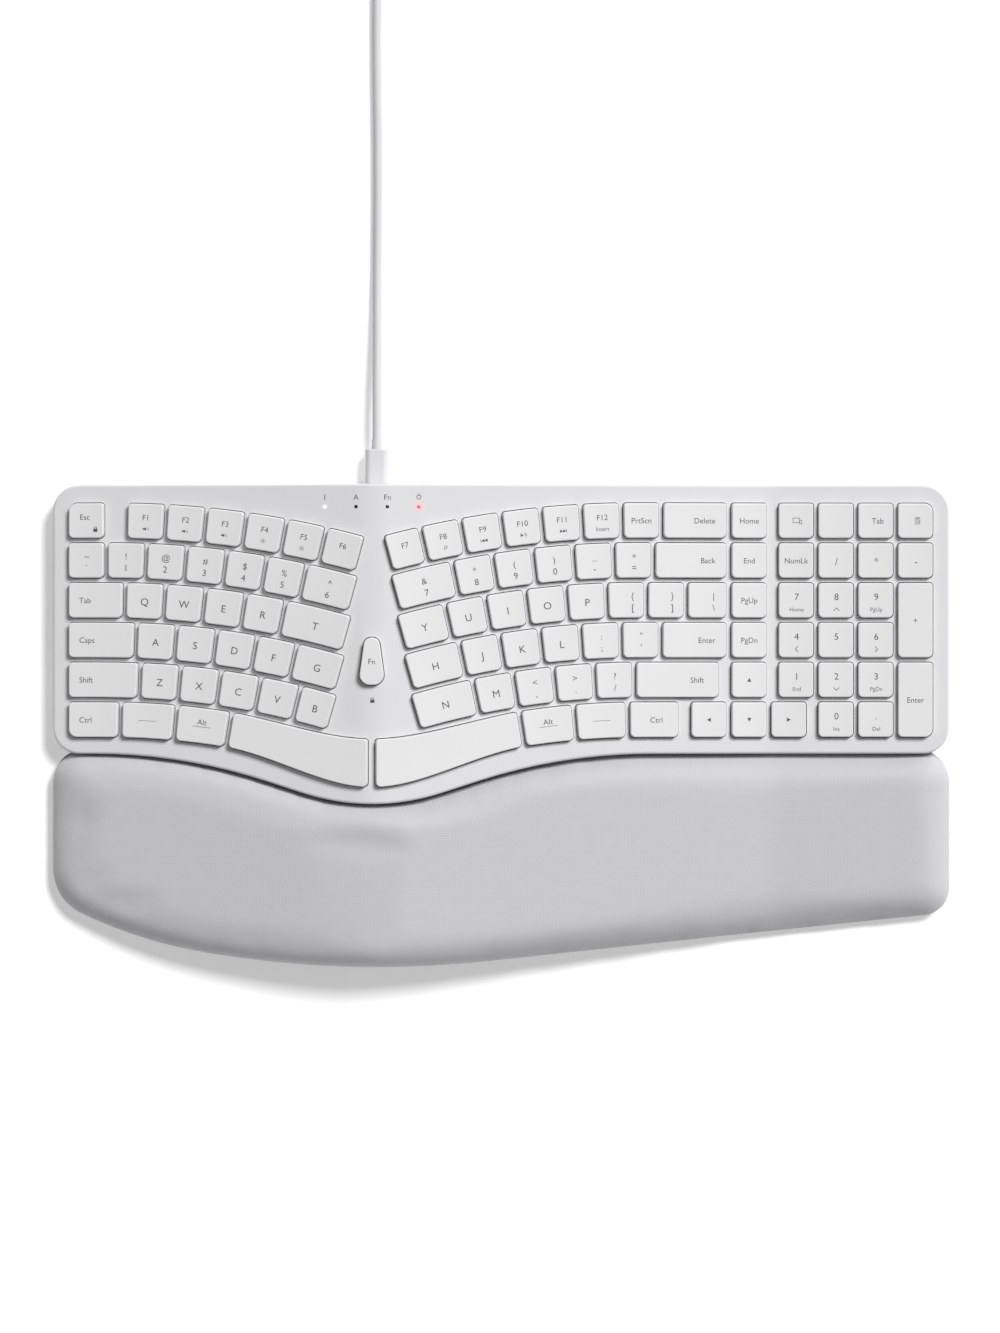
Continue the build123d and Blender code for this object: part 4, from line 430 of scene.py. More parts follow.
# Block, row, node, widths of the caps, their legends, and where the first cap starts, in units
rows = [
    ("left", 0, "escape_key", units(1), [ESCAPE], 0),
    ("left", 0, "function_keys_left", units(*[1] * 6), left_functions, 1.5),
    (
        "left",
        1,
        "number_keys_left",
        units(1, 1, 1, 1, 1, 1, 1.33),
        pairs("~`", "!1", "@2", "#3", "$4", "%5", "^6"),
        0,
    ),
    ("left", 2, "tab_key", units(1.47), [from_left("Tab", 27.9)], 0),
    ("left", 2, "upper_letter_keys_left", units(1, 1, 1, 1, 1.7), letters("QWERT"), 1.47),
    ("left", 3, "caps_lock_key", units(1.75), [from_left("Caps", 33.2)], 0),
    ("left", 3, "home_letter_keys_left", units(1, 1, 1, 1, 1.25), letters("ASDFG"), 1.75),
    ("left", 4, "left_shift_key", units(1.85), [from_left("Shift", 35.1)], 0),
    ("left", 4, "lower_letter_keys_left", units(1, 1, 1, 1, 0.95), letters("ZXCVB"), 1.85),
    ("left", 5, "left_control_key", units(1.36), [from_left("Ctrl", 25.8)], 0),
    ("left", 5, "left_modifier_key", units(1.39), [sign("bar", measure=BAR)], 1.36),
    ("left", 5, "left_alt_key", units(1.36), [ALT], 2.75),
    ("right", 0, "delete_key", units(1.7), [from_right("Delete", 32.3)], 0),
    (
        "right",
        0,
        "function_keys_right",
        units(1, 1, 1, 1, 1, 1, 0.95),
        [word("PrtScn")] + right_functions,
        1.7,
    ),
    ("right", 1, "backspace_key", units(1.9), [from_right("Back", 36.1)], 0),
    (
        "right",
        1,
        "number_keys_right",
        units(1, 1, 1, 1, 1, 1.57),
        pairs("+=", "_-", ")0", "(9", "*8", "&7"),
        1.9,
    ),
    (
        "right",
        2,
        "upper_letter_keys_right",
        units(1.08, 1, 1, 1, 1, 1, 1, 1.24),
        pairs("|\\", "}]", "{[", x=3.0) + letters("POIUY"),
        0,
    ),
    ("right", 3, "enter_key", units(1.72), [from_right("Enter", 32.7)], 0),
    (
        "right",
        3,
        "home_letter_keys_right",
        units(1, 1, 1, 1, 1, 1.42),
        pairs("\"'", ":;") + letters("LKJH"),
        1.72,
    ),
    ("right", 4, "right_shift_key", units(2.19), [from_right("Shift", 41.6, 8.2)], 0.19),
    (
        "right",
        4,
        "lower_letter_keys_right",
        units(1, 1, 1, 1, 1.59),
        pairs("?/", ">.", "<,") + letters("MN"),
        2.38,
    ),
    ("right", 5, "arrow_keys", units(1), [sign("arrow", measure=180)], 0),
    ("right", 5, "right_control_key", units(1.33), [word("Ctrl", 1.0)], 1.21),
    ("right", 5, "right_modifier_key", units(1.33), [sign("bar", measure=BAR)], 2.54),
    ("right", 5, "right_alt_key", units(1.34), [ALT], 3.87),
    ("pad", 0, "number_pad_keys", units(1, 1, 1, 1), pad_top, 0),
    ("pad", 1, "number_pad_keys", units(1, 1, 1, 1), [word("NumLk")] + letters("/*-"), 0),
    ("pad", 5, "number_pad_keys", units(1, 1), [pad_digit("0", "Ins"), pad_digit(".", "Del")], 1),
    ("right_arrow", 5, "right_arrow_key", units(1), [sign("arrow")], 0),
]
pad_digits = (
    (("7", "Home"), ("8", "up"), ("9", "PgUp")),
    (("4", "left"), ("5", ""), ("6", "right")),
    (("1", "End"), ("2", "down"), ("3", "PgDn")),
)
for row, digits in enumerate(pad_digits, 2):
    legends = [pad_digit(*digit) for digit in digits]
    rows.append(("pad", row, "number_pad_keys", units(1, 1, 1), legends, 0))
navigation = [word(name) for name in ("Home", "End", "PgUp", "PgDn")]
navigation += [sign("arrow", measure=90), sign("arrow", measure=270)]
for row, legend in enumerate(navigation):
    node = "navigation_keys" if row < 4 else "arrow_keys"
    rows.append(("navigation", row, node, units(1), [legend], 0))

# %% Turn legends into flat meshes
# Capital height of the built-in font at size 1
CAPITAL_SHARE = 0.73
CIRCLE_POINTS = 32
BAND_POINTS = 20
BAR_LENGTH = 8.6
FOUR_CORNERS = [(0, 1, 2, 3)]
ARROW = [(-0.9, -1.0), (1.0, 0.0), (-0.9, 1.0)]
CHEVRON = [(-1.5, -0.6), (0.0, 0.9), (1.5, -0.6), (1.25, -0.8), (0.0, 0.45), (-1.25, -0.8)]
CHEVRON_FACES = [(0, 5, 4, 1), (1, 4, 3, 2)]
CHEVRON_TURNS = {"up": 0, "left": 90, "down": 180, "right": 270}


def text_polygons(text, height, align="CENTER"):
    """Vertices, in millimetres, and faces of a line of text with this capital height."""
    curve = bpy.data.curves.new("line", "FONT")
    curve.body = text
    curve.size = height / CAPITAL_SHARE
    curve.align_x = align
    curve.resolution_u = 4
    line = add_object("line", curve)
    mesh = evaluated_mesh(line)
    points = [(v.co.x, v.co.y - height / 2) for v in mesh.vertices]
    faces = [tuple(p.vertices) for p in mesh.polygons]
    bpy.data.objects.remove(line)
    bpy.data.curves.remove(curve)
    bpy.data.meshes.remove(mesh)
    return points, faces


def loop_band(outer, inner):
    """A band between two closed loops of the same number of points."""
    count = len(outer)
    faces = [(i, (i + 1) % count, count + (i + 1) % count, count + i) for i in range(count)]
    return outer + inner, faces


def rectangle(width, height):
    """Corners of a rectangle about the origin."""
    x, y = width / 2, height / 2
    return [(-x, -y), (x, -y), (x, y), (-x, y)]


def turned(points, degrees):
    """Points turned anticlockwise about the origin."""
    angle = math.radians(degrees)
    c, s = math.cos(angle), math.sin(angle)
    return [(x * c - y * s, x * s + y * c) for x, y in points]


def circle(radius, count=CIRCLE_POINTS):
    """Points of a circle about the origin."""
    angles = [2 * math.pi * i / count for i in range(count)]
    return [(radius * math.cos(angle), radius * math.sin(angle)) for angle in angles]


def joined(*parts):
    """Several figures, each (points, faces, x, y), as one."""
    points, faces = [], []
    for figure, polygons, x, y in parts:
        faces += [tuple(len(points) + i for i in polygon) for polygon in polygons]
        points += [(px + x, py + y) for px, py in figure]
    return points, faces


def band(outer, inner, x, y):
    """A ring as a part of a sign."""
    return (*loop_band(circle(outer, BAND_POINTS), circle(inner, BAND_POINTS)), x, y)


def plate(width, height, x, y, degrees=0):
    """A filled rectangle as a part of a sign."""
    return (turned(rectangle(width, height), degrees), FOUR_CORNERS, x, y)


def arrowhead(x, degrees=0):
    """A filled triangle as a part of a sign."""
    return (turned([(-0.7, -0.8), (0.8, 0.0), (-0.7, 0.8)], degrees), [(0, 1, 2)], x, 0)


rays = [
    plate(0.45, 0.2, 1.05 * math.cos(a), 1.05 * math.sin(a), math.degrees(a))
    for a in (math.pi / 4 * i for i in range(8))
]
signs = {
    "lock": joined(plate(2.0, 1.5, 0, -0.5), band(0.8, 0.5, 0, 0.5)),
    "sun": joined(band(0.6, 0.35, 0, 0), *rays),
    "sound": joined(
        plate(0.5, 0.8, -1.1, 0),
        arrowhead(-0.5, 180),
        plate(0.2, 0.9, 0.7, 0),
        plate(0.2, 1.5, 1.3, 0),
    ),
    "lens": joined(band(0.8, 0.55, 0.2, 0.2), plate(0.9, 0.25, -0.7, -0.7, 45)),
    "next": joined(arrowhead(-0.8), arrowhead(0.7), plate(0.25, 1.6, 1.7, 0)),
    "back": joined(arrowhead(0.8, 180), arrowhead(-0.7, 180), plate(0.25, 1.6, -1.7, 0)),
    "devices": joined(
        (*loop_band(rectangle(3.4, 2.4), rectangle(2.9, 1.9)), -0.5, 0.2),
        (*loop_band(rectangle(1.2, 1.9), rectangle(0.75, 1.45)), 1.6, -0.6),
    ),
    "sums": joined(
        (*loop_band(rectangle(2.4, 3.4), rectangle(2.0, 3.0)), 0, 0),
        plate(1.4, 0.5, 0, 0.9),
        *(plate(0.4, 0.4, x, y) for x in (-0.5, 0.1, 0.7) for y in (-0.1, -0.9)),
    ),
    "play": joined(arrowhead(-0.8), plate(0.25, 1.6, 0.6, 0), plate(0.25, 1.6, 1.2, 0)),
}


def legend_polygons(text, height, align):
    """Polygons of a line of text or of a plain sign."""
    if text == "bar":
        return rectangle(BAR_LENGTH, height), FOUR_CORNERS
    if text == "arrow":
        return turned(ARROW, height), [(0, 1, 2)]
    if text in CHEVRON_TURNS:
        return turned(CHEVRON, CHEVRON_TURNS[text]), CHEVRON_FACES
    if text in signs:
        return signs[text]
    return text_polygons(text, height, align)


def make_piece(name, vertices, faces, material, body):
    """A thin layer on a surface, closed all round, in millimetres, that rides on a body."""
    mesh = bpy.data.meshes.new(name)
    mesh.from_pydata([Vector(v) * MM for v in vertices], [], faces)
    layer = bmesh.new()
    layer.from_mesh(mesh)
    sunk = bmesh.ops.extrude_face_region(layer, geom=layer.faces[:])
    for item in sunk["geom"]:
        if isinstance(item, bmesh.types.BMVert):
            item.co.z -= LAYER * MM
    bmesh.ops.recalc_face_normals(layer, faces=layer.faces[:])
    layer.to_mesh(mesh)
    layer.free()
    mesh.materials.append(material)
    piece = add_object(name, mesh)
    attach(piece, body)
    return piece


printed = {}


def print_key(node, place, dish_half, lines):
    """Add a key's legend to its node's sheet of legends, laid on the dished top."""
    origin, x_axis, y_axis, z_axis = place
    vertices, faces = printed.setdefault(node, ([], []))
    for text, x, y, height, align in lines:
        points, polygons = legend_polygons(text, height, align)
        base = len(vertices)
        for px, py in points:
            across = px + x
            lift = KEY_TOP + PRINT_LIFT
            if dish_half:
                dish_radius = (dish_half**2 + DISH**2) / (2 * DISH)
                lift += across**2 / (2 * dish_radius) - DISH
            vertices.append(origin + x_axis * across + y_axis * (py + y) + z_axis * lift)
        faces += [tuple(base + i for i in polygon) for polygon in polygons]


for block, row, node, widths, legends, start_units in rows:
    start = start_units * PITCH
    for width, lines in zip(widths, legends):
        print_key(node, key_frame(block, row, start, width), width / 2, lines)
        start += width
for node, row, text in (("number_pad_plus_key", 2, "+"), ("number_pad_enter_key", 4, "Enter")):
    print_key(node, key_frame("pad", row, 3 * PITCH, PITCH, 2), 0, word(text))
upright = [Vector(axis) for axis in ((1, 0, 0), (0, 1, 0), (0, 0, 1))]
print_key("fn_key", (Vector((RIDGE_X, FN_KEY_Y, CROWN)), *upright), 0, word("Fn"))
for node, (vertices, faces) in printed.items():
    if vertices:
        make_piece(node + "_legends", vertices, faces, ink, node + "_body")

# %% [markdown]
# ## Status lights and their signs
# Four small round windows sit behind the split: one lit white, two dark and one lit red. A soft
# pink glow round the red one is painted on the case as pink colour and a faint emission.

# %% Status lights
LIGHT_PITCH = 14.9
LIGHT_Y = REAR_Y - 10.9
LIGHT_RADIUS = 0.8
LIGHT_DOME = 0.2
# Radii of the rings of the painted glow and how strong it is on each
PAINTED_GLOW_RINGS = (0.8, 1.3, 1.9, 2.6, 3.3)
PAINTED_GLOW_SHARES = (1.0, 0.6, 0.3, 0.1, 0.0)
SIGN_Y = LIGHT_Y + 4.6
SIGN_HEIGHT = 2.7
light_xs = [RIDGE_X + (number - 1.5) * LIGHT_PITCH for number in range(4)]


def on_deck(x, y, points, lift):
    """Points of a small flat figure laid on the deck at (x, y)."""
    return [(x + px, y + py, deck_height(x + px) + lift) for px, py in points]


lit_white = glowing("status light, lit white", "FFFFFF", 3.0)
lit_red = glowing("status light, lit red", "9C606C", 0.4)
unlit = moulded_plastic("status light, unlit smoked window", "161616", "1C1C1C", 0.2, 0.3, 0.002)


def painted_glow_material():
    """Painted glow of the red light: the case's colour, painted pink and made faintly emitting
    where the light spreads over it.
    """
    material, tree, surface = start_material("status light, painted glow on the case", "D3D3D4", 0.55)
    attribute = tree.nodes.new("ShaderNodeAttribute")
    attribute.attribute_name = "painted_glow"
    # Painted light: pink is painted into the case colour where the red light's glow falls
    mix_colours(tree, surface, attribute.outputs["Fac"], "D3D3D4", "F2A0AD")
    add_bump(tree, surface, add_noise(tree, 0.3, 3.0), 0.012)
    # Painted glow: the same share makes the case patch faintly emit pink light
    strength = tree.nodes.new("ShaderNodeMath")
    strength.operation = "MULTIPLY"
    strength.inputs[1].default_value = 0.3
    tree.links.new(attribute.outputs["Fac"], strength.inputs[0])
    tree.links.new(strength.outputs["Value"], surface.inputs["Emission Strength"])
    surface.inputs["Emission Color"].default_value = linear("EF9AA6")
    return material


lights = (lit_white, unlit, unlit, lit_red)
for number, (x, material) in enumerate(zip(light_xs, lights), 1):
    vertices = on_deck(x, LIGHT_Y, circle(LIGHT_RADIUS), PRINT_LIFT)
    vertices.append((x, LIGHT_Y, deck_height(x) + LIGHT_DOME))
    faces = [(i, (i + 1) % CIRCLE_POINTS, CIRCLE_POINTS) for i in range(CIRCLE_POINTS)]
    make_piece(f"status_light_{number}", vertices, faces, material, "keyboard")

# A ring of painted pink light on the case round the red light, fading outwards
painted_glow_x = light_xs[-1]
vertices, faces = [], []
for radius in PAINTED_GLOW_RINGS:
    vertices += on_deck(painted_glow_x, LIGHT_Y, circle(radius), PRINT_LIFT / 2)
for ring in range(len(PAINTED_GLOW_RINGS) - 1):
    for i in range(CIRCLE_POINTS):
        a = ring * CIRCLE_POINTS + i
        b = ring * CIRCLE_POINTS + (i + 1) % CIRCLE_POINTS
        faces.append((a, a + CIRCLE_POINTS, b + CIRCLE_POINTS, b))
painted_glow = make_piece("painted_status_glow", vertices, faces, painted_glow_material(), "keyboard")
fade = painted_glow.data.attributes.new("painted_glow", "FLOAT", "POINT")
for vertex, item in zip(painted_glow.data.vertices, fade.data):
    radius = math.hypot(vertex.co.x / MM - painted_glow_x, vertex.co.y / MM - LIGHT_Y)
    item.value = float(np.interp(radius, PAINTED_GLOW_RINGS, PAINTED_GLOW_SHARES))

sign_vertices, sign_faces = [], []


def add_sign(x, y, polygons):
    """Add a figure at (x, y) to the sheet of signs on the deck."""
    points, faces = polygons
    base = len(sign_vertices)
    sign_vertices.extend(on_deck(x, y, points, PRINT_LIFT))
    sign_faces.extend(tuple(base + i for i in face) for face in faces)


for x, text in zip(light_xs, ("1", "A", "Fn")):
    add_sign(x, SIGN_Y, text_polygons(text, SIGN_HEIGHT))
add_sign(painted_glow_x, SIGN_Y, loop_band(circle(1.15), circle(0.85)))
add_sign(painted_glow_x, SIGN_Y + 1.1, (rectangle(0.3, 1.2), FOUR_CORNERS))
add_sign(RIDGE_X + PRINT_X, 12.0, signs["lock"])
make_piece("case_signs", sign_vertices, sign_faces, ink, "keyboard")

# %% [markdown]
# ## Palm rest
# The cushion starts as a block on the palm rest's plan. It is bent over the arch with a
# rounded rim, then blown up as cloth under slight pressure, so that its top crowns. Its skirt
# is kept on the plan, where the real cover is sewn to its tray.

# %% Plan of the palm rest
# The front edge: its lowest point, then the radius and sweep of each arc to the sides
LOW_FROM_LEFT = 154.5
FRONT_RIGHT = (535.0, 5.9)
FRONT_LEFT = (500.0, 9.6)
FAR_LEFT = (222.0, 15.4)
CORNER_RADIUS = 12.5
FRONT_LEFT_CORNER = 23.0
# The rear edge follows the case's wave at a small gap
CASE_GAP = 0.6
WAVE_ANGLE = 17.8
WAVE_RUN = 18.6
SHOULDER_RADIUS = 268.0 - CASE_GAP
VALLEY_RADIUS = 108.0 + CASE_GAP


def walk(start, heading, radius, sweep, step=2.5):
    """Points of an arc from start; a positive sweep, in degrees, turns left."""
    turn = math.radians(sweep)
    count = max(2, int(abs(radius * turn) / step))
    side = math.copysign(1, turn)
    centre = (
        start[0] - side * radius * math.sin(heading),
        start[1] + side * radius * math.cos(heading),
    )
    points = []
    for i in range(1, count + 1):
        angle = heading + turn * i / count
        x = centre[0] + side * radius * math.sin(angle)
        points.append((x, centre[1] - side * radius * math.cos(angle)))
    return points, heading + turn


def round_corner(before, corner, after, radius):
    """Arc that rounds a sharp corner, as points."""
    to_before = (Vector(before) - Vector(corner)).normalized()
    to_after = (Vector(after) - Vector(corner)).normalized()
    half = to_before.angle(to_after) / 2
    cut = radius / math.tan(half)
    centre = Vector(corner) + (to_before + to_after).normalized() * radius / math.sin(half)
    first = Vector(corner) + to_before * cut - centre
    last = Vector(corner) + to_after * cut - centre
    points = []
    for i in range(9):
        points.append(tuple(centre + first.lerp(last, i / 8).normalized() * radius))
    return points


def palm_plan():
    """Closed outline of the palm rest, anticlockwise from its lowest point."""
    low = (LOW_FROM_LEFT - SIDE_X, -REAR_Y)
    right, _ = walk(low, 0.0, *FRONT_RIGHT)
    rise = (SIDE_X - right[-1][0]) * math.tan(math.radians(FRONT_RIGHT[1]))
    corner_right = (SIDE_X, right[-1][1] + rise)
    left, heading = walk(low, 0.0, *FRONT_LEFT)
    more, _ = walk(left[-1], heading, *FAR_LEFT)
    mirrored = [(2 * low[0] - x, y) for x, y in left + more]
    end = mirrored[-1]
    rise = (end[0] + SIDE_X) * math.tan(math.radians(FRONT_LEFT[1] + FAR_LEFT[1]))
    corner_left = (-SIDE_X, end[1] + rise)

    slope = math.radians(WAVE_ANGLE)
    run_x, run_y = WAVE_RUN * math.cos(slope), WAVE_RUN * math.sin(slope)
    half_run = (SHOULDER_RADIUS + VALLEY_RADIUS) * math.sin(slope) + run_x
    rear = FRONT_Y - CASE_GAP
    start = (RIDGE_X - half_run, rear)
    fall, heading = walk(start, 0.0, SHOULDER_RADIUS, -WAVE_ANGLE)
    down = (fall[-1][0] + run_x, fall[-1][1] - run_y)
    valley, heading = walk(down, heading, VALLEY_RADIUS, 2 * WAVE_ANGLE)
    up = (valley[-1][0] + run_x, valley[-1][1] + run_y)
    climb, _ = walk(up, heading, SHOULDER_RADIUS, -WAVE_ANGLE)
    wave = [start] + fall + [down] + valley + [up] + climb

    rear_left, rear_right = (-SIDE_X, rear), (SIDE_X, rear)
    outline = [low] + right
    outline += round_corner(right[-1], corner_right, rear_right, CORNER_RADIUS)
    outline += round_corner(corner_right, rear_right, wave[-1], CORNER_RADIUS)
    outline += wave[::-1]
    outline += round_corner(wave[0], rear_left, corner_left, CORNER_RADIUS)
    outline += round_corner(rear_left, corner_left, end, FRONT_LEFT_CORNER)
    outline += mirrored[::-1]
    return outline


def nearest_on(points, outline):
    """Nearest place on the outline to each plan point, its distance and the outward direction."""
    starts = np.array(outline)
    runs = np.roll(starts, -1, axis=0) - starts
    best = np.full(len(points), np.inf)
    place = points.copy()
    outward = np.zeros_like(points)
    for start, run in zip(starts, runs):
        squared = (run**2).sum()
        if squared < 1e-9:
            continue
        share = np.clip(((points - start) @ run) / squared, 0, 1)
        foot = start + share[:, None] * run
        distance = np.linalg.norm(points - foot, axis=1)
        closer = distance < best
        best[closer] = distance[closer]
        place[closer] = foot[closer]
        outward[closer] = np.array([run[1], -run[0]]) / math.sqrt(squared)
    return place, best, outward

# %% Upholster the palm rest
# The block and its voxels, the height of the hem, and the radius of the rim
CUSHION_BOTTOM = 5.0
BLOCK_HEIGHT = 24.0
VOXEL = 3.2
RIM = 9.0
# The cushion's top stands this far above the deck's line, less the depth that the cloth gains
CUSHION_RISE = 3.0
SWELL_ROOM = 0.8
# How far the cloth may move, and its pressure, stiffness and frames
SWELL_LIMIT = 1.4
PRESSURE = 4.0
STIFFNESS = 40
FRAMES = 20
# Shares of the height below which the cloth is held, the hem is level and the skirt is sewn
SEAT_SHARE = 0.12
HEM_SHARE = 0.1
SKIRT_SHARE = 0.92
# Plan distances from the outline: of the skirt, of its bulge, and how far the bulge is felt
SKIRT_REACH = 2.2
BULGE = 0.6
BULGE_REACH = 5.0


def coordinates(mesh):
    """The mesh's vertices, in millimetres."""
    return np.array([tuple(v.co) for v in mesh.vertices]) / MM


def move_vertices(mesh, points):
    """Put the mesh's vertices at points in millimetres."""
    mesh.vertices.foreach_set("co", (points * MM).ravel())


def add_smoothing(piece, iterations):
    """Let a modifier even out the piece's mesh."""
    smooth = piece.modifiers.new("Smooth", "SMOOTH")
    smooth.iterations = iterations
    smooth.factor = 0.5


plan = palm_plan()
cushion_mesh = bpy.data.meshes.new("palm_rest_cushion")
shape = bmesh.new()
lower = [shape.verts.new((x * MM, y * MM, 0)) for x, y in plan]
raised = bmesh.ops.extrude_face_region(shape, geom=[shape.faces.new(lower)])
for item in raised["geom"]:
    if isinstance(item, bmesh.types.BMVert):
        item.co.z = BLOCK_HEIGHT * MM
bmesh.ops.recalc_face_normals(shape, faces=shape.faces)
shape.to_mesh(cushion_mesh)
shape.free()
cushion = add_object("palm_rest_cushion", cushion_mesh)
remesh = cushion.modifiers.new("Remesh", "REMESH")
remesh.mode = "VOXEL"
remesh.voxel_size = VOXEL * MM
remeshed = evaluated_mesh(cushion)
cushion.modifiers.clear()
cushion.data = remeshed

# Bend the block over the arch: share is 0 at its bottom and 1 at its top
flat = coordinates(cushion.data)
share = np.clip((flat[:, 2] - 0.3) / (BLOCK_HEIGHT - 0.6), 0, 1)
wall, wall_distance, outward = nearest_on(flat[:, :2], plan)
depth_in = np.minimum(wall_distance, RIM)
drop = RIM - np.sqrt(RIM**2 - (RIM - depth_in) ** 2)
tops = np.array([deck_height(x, CUSHION_RISE) for x in flat[:, 0]]) - drop - SWELL_ROOM
heights = CUSHION_BOTTOM + share * (tops - CUSHION_BOTTOM)
shaped = np.column_stack([flat[:, 0], flat[:, 1], heights])
move_vertices(cushion.data, shaped)
pins = cushion.vertex_groups.new(name="seat")
pins.add([i for i, s in enumerate(share) if s < SEAT_SHARE], 1.0, "REPLACE")

cloth = cushion.modifiers.new("Cloth", "CLOTH")
cloth.settings.use_pressure = True
cloth.settings.uniform_pressure_force = PRESSURE
cloth.settings.effector_weights.gravity = 0.0
cloth.settings.vertex_group_mass = "seat"
cloth.settings.tension_stiffness = STIFFNESS
cloth.settings.compression_stiffness = STIFFNESS
cloth.point_cache.frame_start = 1
cloth.point_cache.frame_end = FRAMES
for step in range(1, FRAMES + 1):
    bpy.context.scene.frame_set(step)
blown = coordinates(evaluated_mesh(cushion))
cushion.modifiers.clear()
bpy.context.scene.frame_set(1)
move = blown - shaped
size = np.linalg.norm(move, axis=1)
move *= (np.minimum(size, SWELL_LIMIT) / np.maximum(size, 1e-6))[:, None]
shaped = shaped + move
move_vertices(cushion.data, shaped)

add_smoothing(cushion, 3)
smoothed = evaluated_mesh(cushion)
cushion.modifiers.clear()
shaped = coordinates(smoothed)
bpy.data.meshes.remove(smoothed)
# The skirt is sewn along the plan, so it stands on it and only bulges towards its top
hem = share < HEM_SHARE
skirt = (wall_distance < SKIRT_REACH) & (share < SKIRT_SHARE)
swell = BULGE * np.sin(np.pi / 2 * np.clip(share / SKIRT_SHARE, 0, 1))
swell *= np.where(skirt, 1.0, np.clip(1 - wall_distance / BULGE_REACH, 0, 1))
base = np.where(skirt[:, None], wall, shaped[:, :2])
shaped[:, :2] = base + outward * swell[:, None]
shaped[hem, 2] = CUSHION_BOTTOM
move_vertices(cushion.data, shaped)
add_smoothing(cushion, 1)
fine = cushion.modifiers.new("Subdivision", "SUBSURF")
fine.levels = 1
finished = evaluated_mesh(cushion)
cushion.modifiers.clear()
cushion.data = finished
for polygon in cushion.data.polygons:
    polygon.use_smooth = True
cushion.data.materials.clear()
cushion.data.materials.append(leather)
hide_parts("palm_rest_cover", "palm_rest_foam")
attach(cushion, "keyboard")

# %% [markdown]
# ## Charging lead
# A 4.4 mm lead, 1.5 m long. It runs straight back from its plug, as the photograph shows, and
# the length that the photograph doesn't show is wound into a flat coil of two layers.

# %% Lay the lead
LEAD_START = (-59.5, 136.6)
PLUG_HEIGHT = 8.0
LEAD_RADIUS = 2.2
# The coil: its distance behind the plug, its two layers, and how its radius changes each half turn
COIL_Y = 253.4
COIL_RADIUS = 35.2
INNER_RADIUS = 15.0
SECOND_LAYER_RADIUS = 18.225
HALF_TURN_STEP = 2.425
SECOND_LAYER = 7.05
SPLIT_TURN = 24
# The far plug lies flat on its own thickness
FAR_PLUG_HEIGHT = 4.0

route = [
    (0.0, 0.0, PLUG_HEIGHT),
    (0.0, 20.0, PLUG_HEIGHT),
    (0.1, 45.6, 5.0),
    (0.0, 78.0, LEAD_RADIUS),
    (0.5, 131.0, LEAD_RADIUS),
    (-0.4, 191.0, LEAD_RADIUS),
    (0.0, 227.0, LEAD_RADIUS),
]
points = [(LEAD_START[0] + x, LEAD_START[1] + y, z) for x, y, z in route]
coil_x = LEAD_START[0] + COIL_RADIUS
coil_y = LEAD_START[1] + COIL_Y
radii = [COIL_RADIUS - HALF_TURN_STEP * n for n in range(8)] + [INNER_RADIUS] * 2
radii += [SECOND_LAYER_RADIUS + HALF_TURN_STEP * n for n in range(7)]
layers = [LEAD_RADIUS] * 9 + [SECOND_LAYER] * 8
steps = SPLIT_TURN // 2
# A quadratic spline runs just inside its points, so they lie that little bit further out
spread = 1 / math.cos(math.pi / SPLIT_TURN)
for half, (r0, r1, z0, z1) in enumerate(zip(radii, radii[1:], layers, layers[1:])):
    side = -1 if half % 2 == 0 else 1
    middle = coil_x + side * (r0 - r1) / 2
    radius = side * (r0 + r1) / 2 * spread
    for step in range(steps):
        angle = math.pi * (step + 0.5) / steps
        z = z0 + (z1 - z0) * (1 - math.cos(angle)) / 2
        points.append((middle + radius * math.cos(angle), coil_y - radius * math.sin(angle), z))
tail_x = coil_x - radii[-1]
tail_y = coil_y + 2 * LEAD_RADIUS
tail = ((0.0, SECOND_LAYER), (13.0, SECOND_LAYER), (31.0, FAR_PLUG_HEIGHT), (43.0, FAR_PLUG_HEIGHT))
points += [(tail_x, tail_y + y, z) for y, z in tail]

lead_curve = bpy.data.curves.new("charging_lead", "CURVE")
lead_curve.dimensions = "3D"
spline = lead_curve.splines.new("NURBS")
spline.points.add(len(points) - 1)
for point, place in zip(spline.points, points):
    point.co = (place[0] * MM, place[1] * MM, place[2] * MM, 1)
spline.order_u = 3
spline.use_endpoint_u = True
spline.resolution_u = 4
lead_curve.bevel_depth = LEAD_RADIUS * MM
lead_curve.bevel_resolution = 4
lead_curve.use_fill_caps = True
lead_curve.materials.append(jacket)
lead = add_object("charging_lead", lead_curve)
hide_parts("usb_cable", "usb_cable_coil")
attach(lead, "keyboard")

# %% [markdown]
# ## Floor, light and camera
# A white floor, one soft sun from the upper right and an even sky. The camera looks straight
# down from far off.

# %% Stage
# Lengths here are in metres
FLOOR_HALF = 4.0
UNDERLIGHT = 0.3
SUN_STRENGTH = 3.65
SUN_ANGLE = 23
SUN_DIRECTION = (0.6, 0.68, 1.0)
SKY = (0.22, 0.22, 0.224, 1)
SENSOR_HEIGHT = 36
CAMERA_PLACE = (-0.0006, 0.028, 3.0)
# The camera frames this much at the height of the keys
FRAME_HEIGHT = 0.6356
KEYS_HEIGHT = 0.02

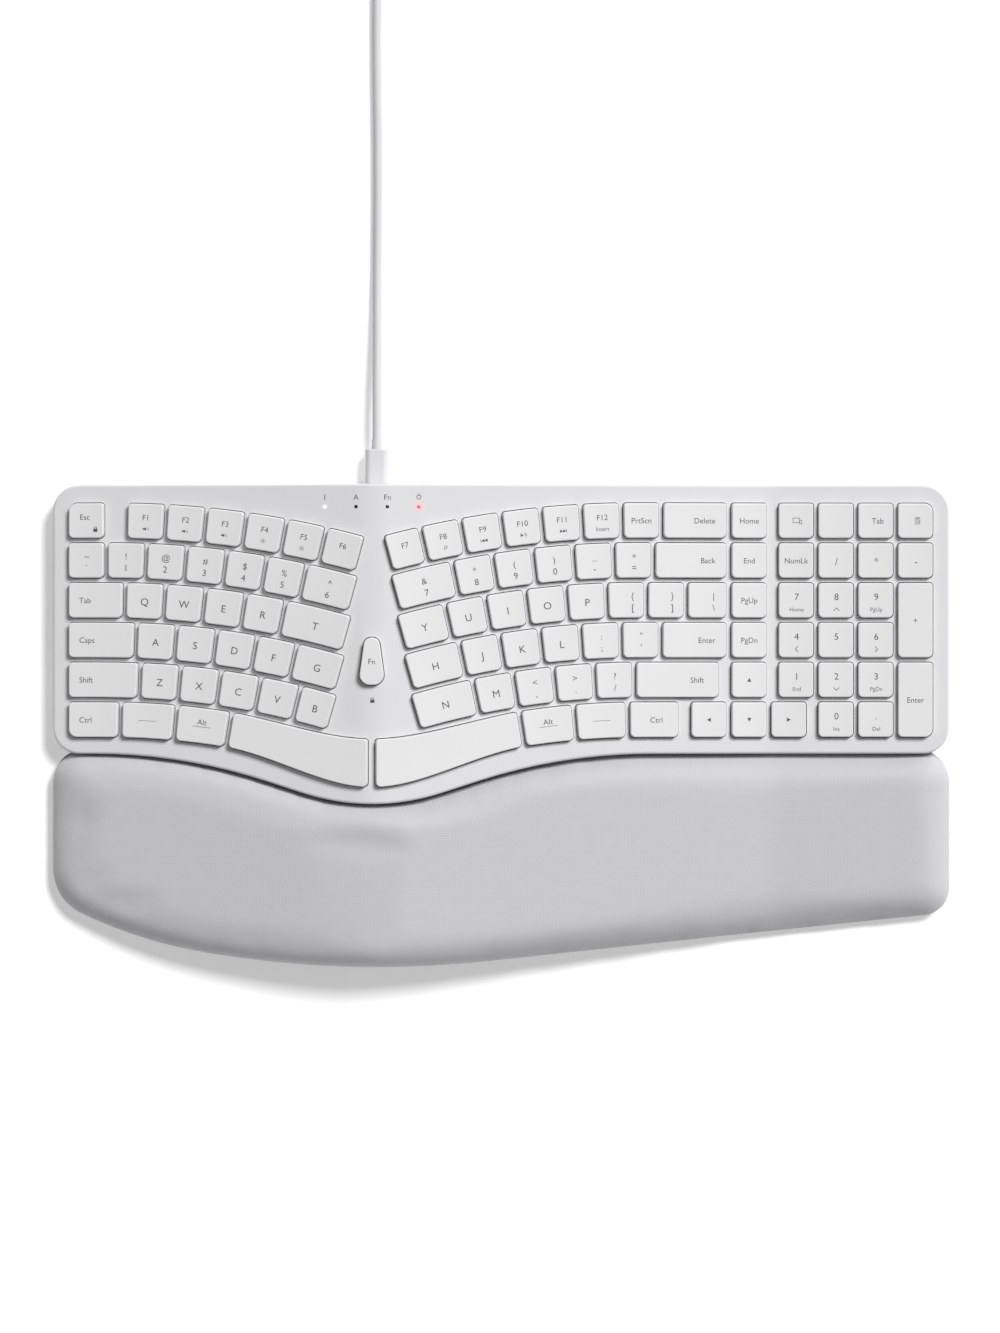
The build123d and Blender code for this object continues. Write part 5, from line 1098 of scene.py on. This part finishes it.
corners = [(x * FLOOR_HALF, y * FLOOR_HALF, 0) for x, y in ((-1, -1), (1, -1), (1, 1), (-1, 1))]
floor_mesh = bpy.data.meshes.new("floor")
floor_mesh.from_pydata(corners, [], FOUR_CORNERS)
floor = add_object("floor", floor_mesh)
paper, paper_tree, paper_surface = start_material("studio paper, matte", "FAFAFA", 0.9)
add_bump(paper_tree, paper_surface, add_noise(paper_tree, 2.0), 0.01)
# The sheet is lit from below as well, as on a shooting table, so shadows on it stay light
paper_surface.inputs["Emission Color"].default_value = linear("FFFFFF")
paper_surface.inputs["Emission Strength"].default_value = UNDERLIGHT
floor_mesh.materials.append(paper)

sun_data = bpy.data.lights.new("key light", "SUN")
sun_data.energy = SUN_STRENGTH
sun_data.angle = math.radians(SUN_ANGLE)
sun = add_object("key light", sun_data)
sun.rotation_euler = Vector(SUN_DIRECTION).to_track_quat("Z", "Y").to_euler()

# The sky lights the scene dimly, while the camera sees plain white
world = bpy.data.worlds.new("studio")
bpy.context.scene.world = world
world.use_nodes = True
world_tree = world.node_tree
sky = world_tree.nodes["Background"]
sky.inputs["Color"].default_value = SKY
white = world_tree.nodes.new("ShaderNodeBackground")
white.inputs["Color"].default_value = (1, 1, 1, 1)
seen = world_tree.nodes.new("ShaderNodeLightPath")
choose = world_tree.nodes.new("ShaderNodeMixShader")
world_tree.links.new(seen.outputs["Is Camera Ray"], choose.inputs["Fac"])
world_tree.links.new(sky.outputs["Background"], choose.inputs[1])
world_tree.links.new(white.outputs["Background"], choose.inputs[2])
world_tree.links.new(choose.outputs["Shader"], world_tree.nodes["World Output"].inputs["Surface"])

camera_data = bpy.data.cameras.new("camera")
camera_data.sensor_fit = "VERTICAL"
camera_data.sensor_height = SENSOR_HEIGHT
camera_data.lens = SENSOR_HEIGHT * (CAMERA_PLACE[2] - KEYS_HEIGHT) / FRAME_HEIGHT
camera_data.clip_end = 20
camera = add_object("camera", camera_data)
camera.location = CAMERA_PLACE
scene = bpy.context.scene
scene.camera = camera
scene.render.engine = "CYCLES"
scene.cycles.samples = 96
scene.cycles.use_denoising = True
scene.render.resolution_x = 1000
scene.render.resolution_y = 1333
scene.view_settings.view_transform = "Standard"
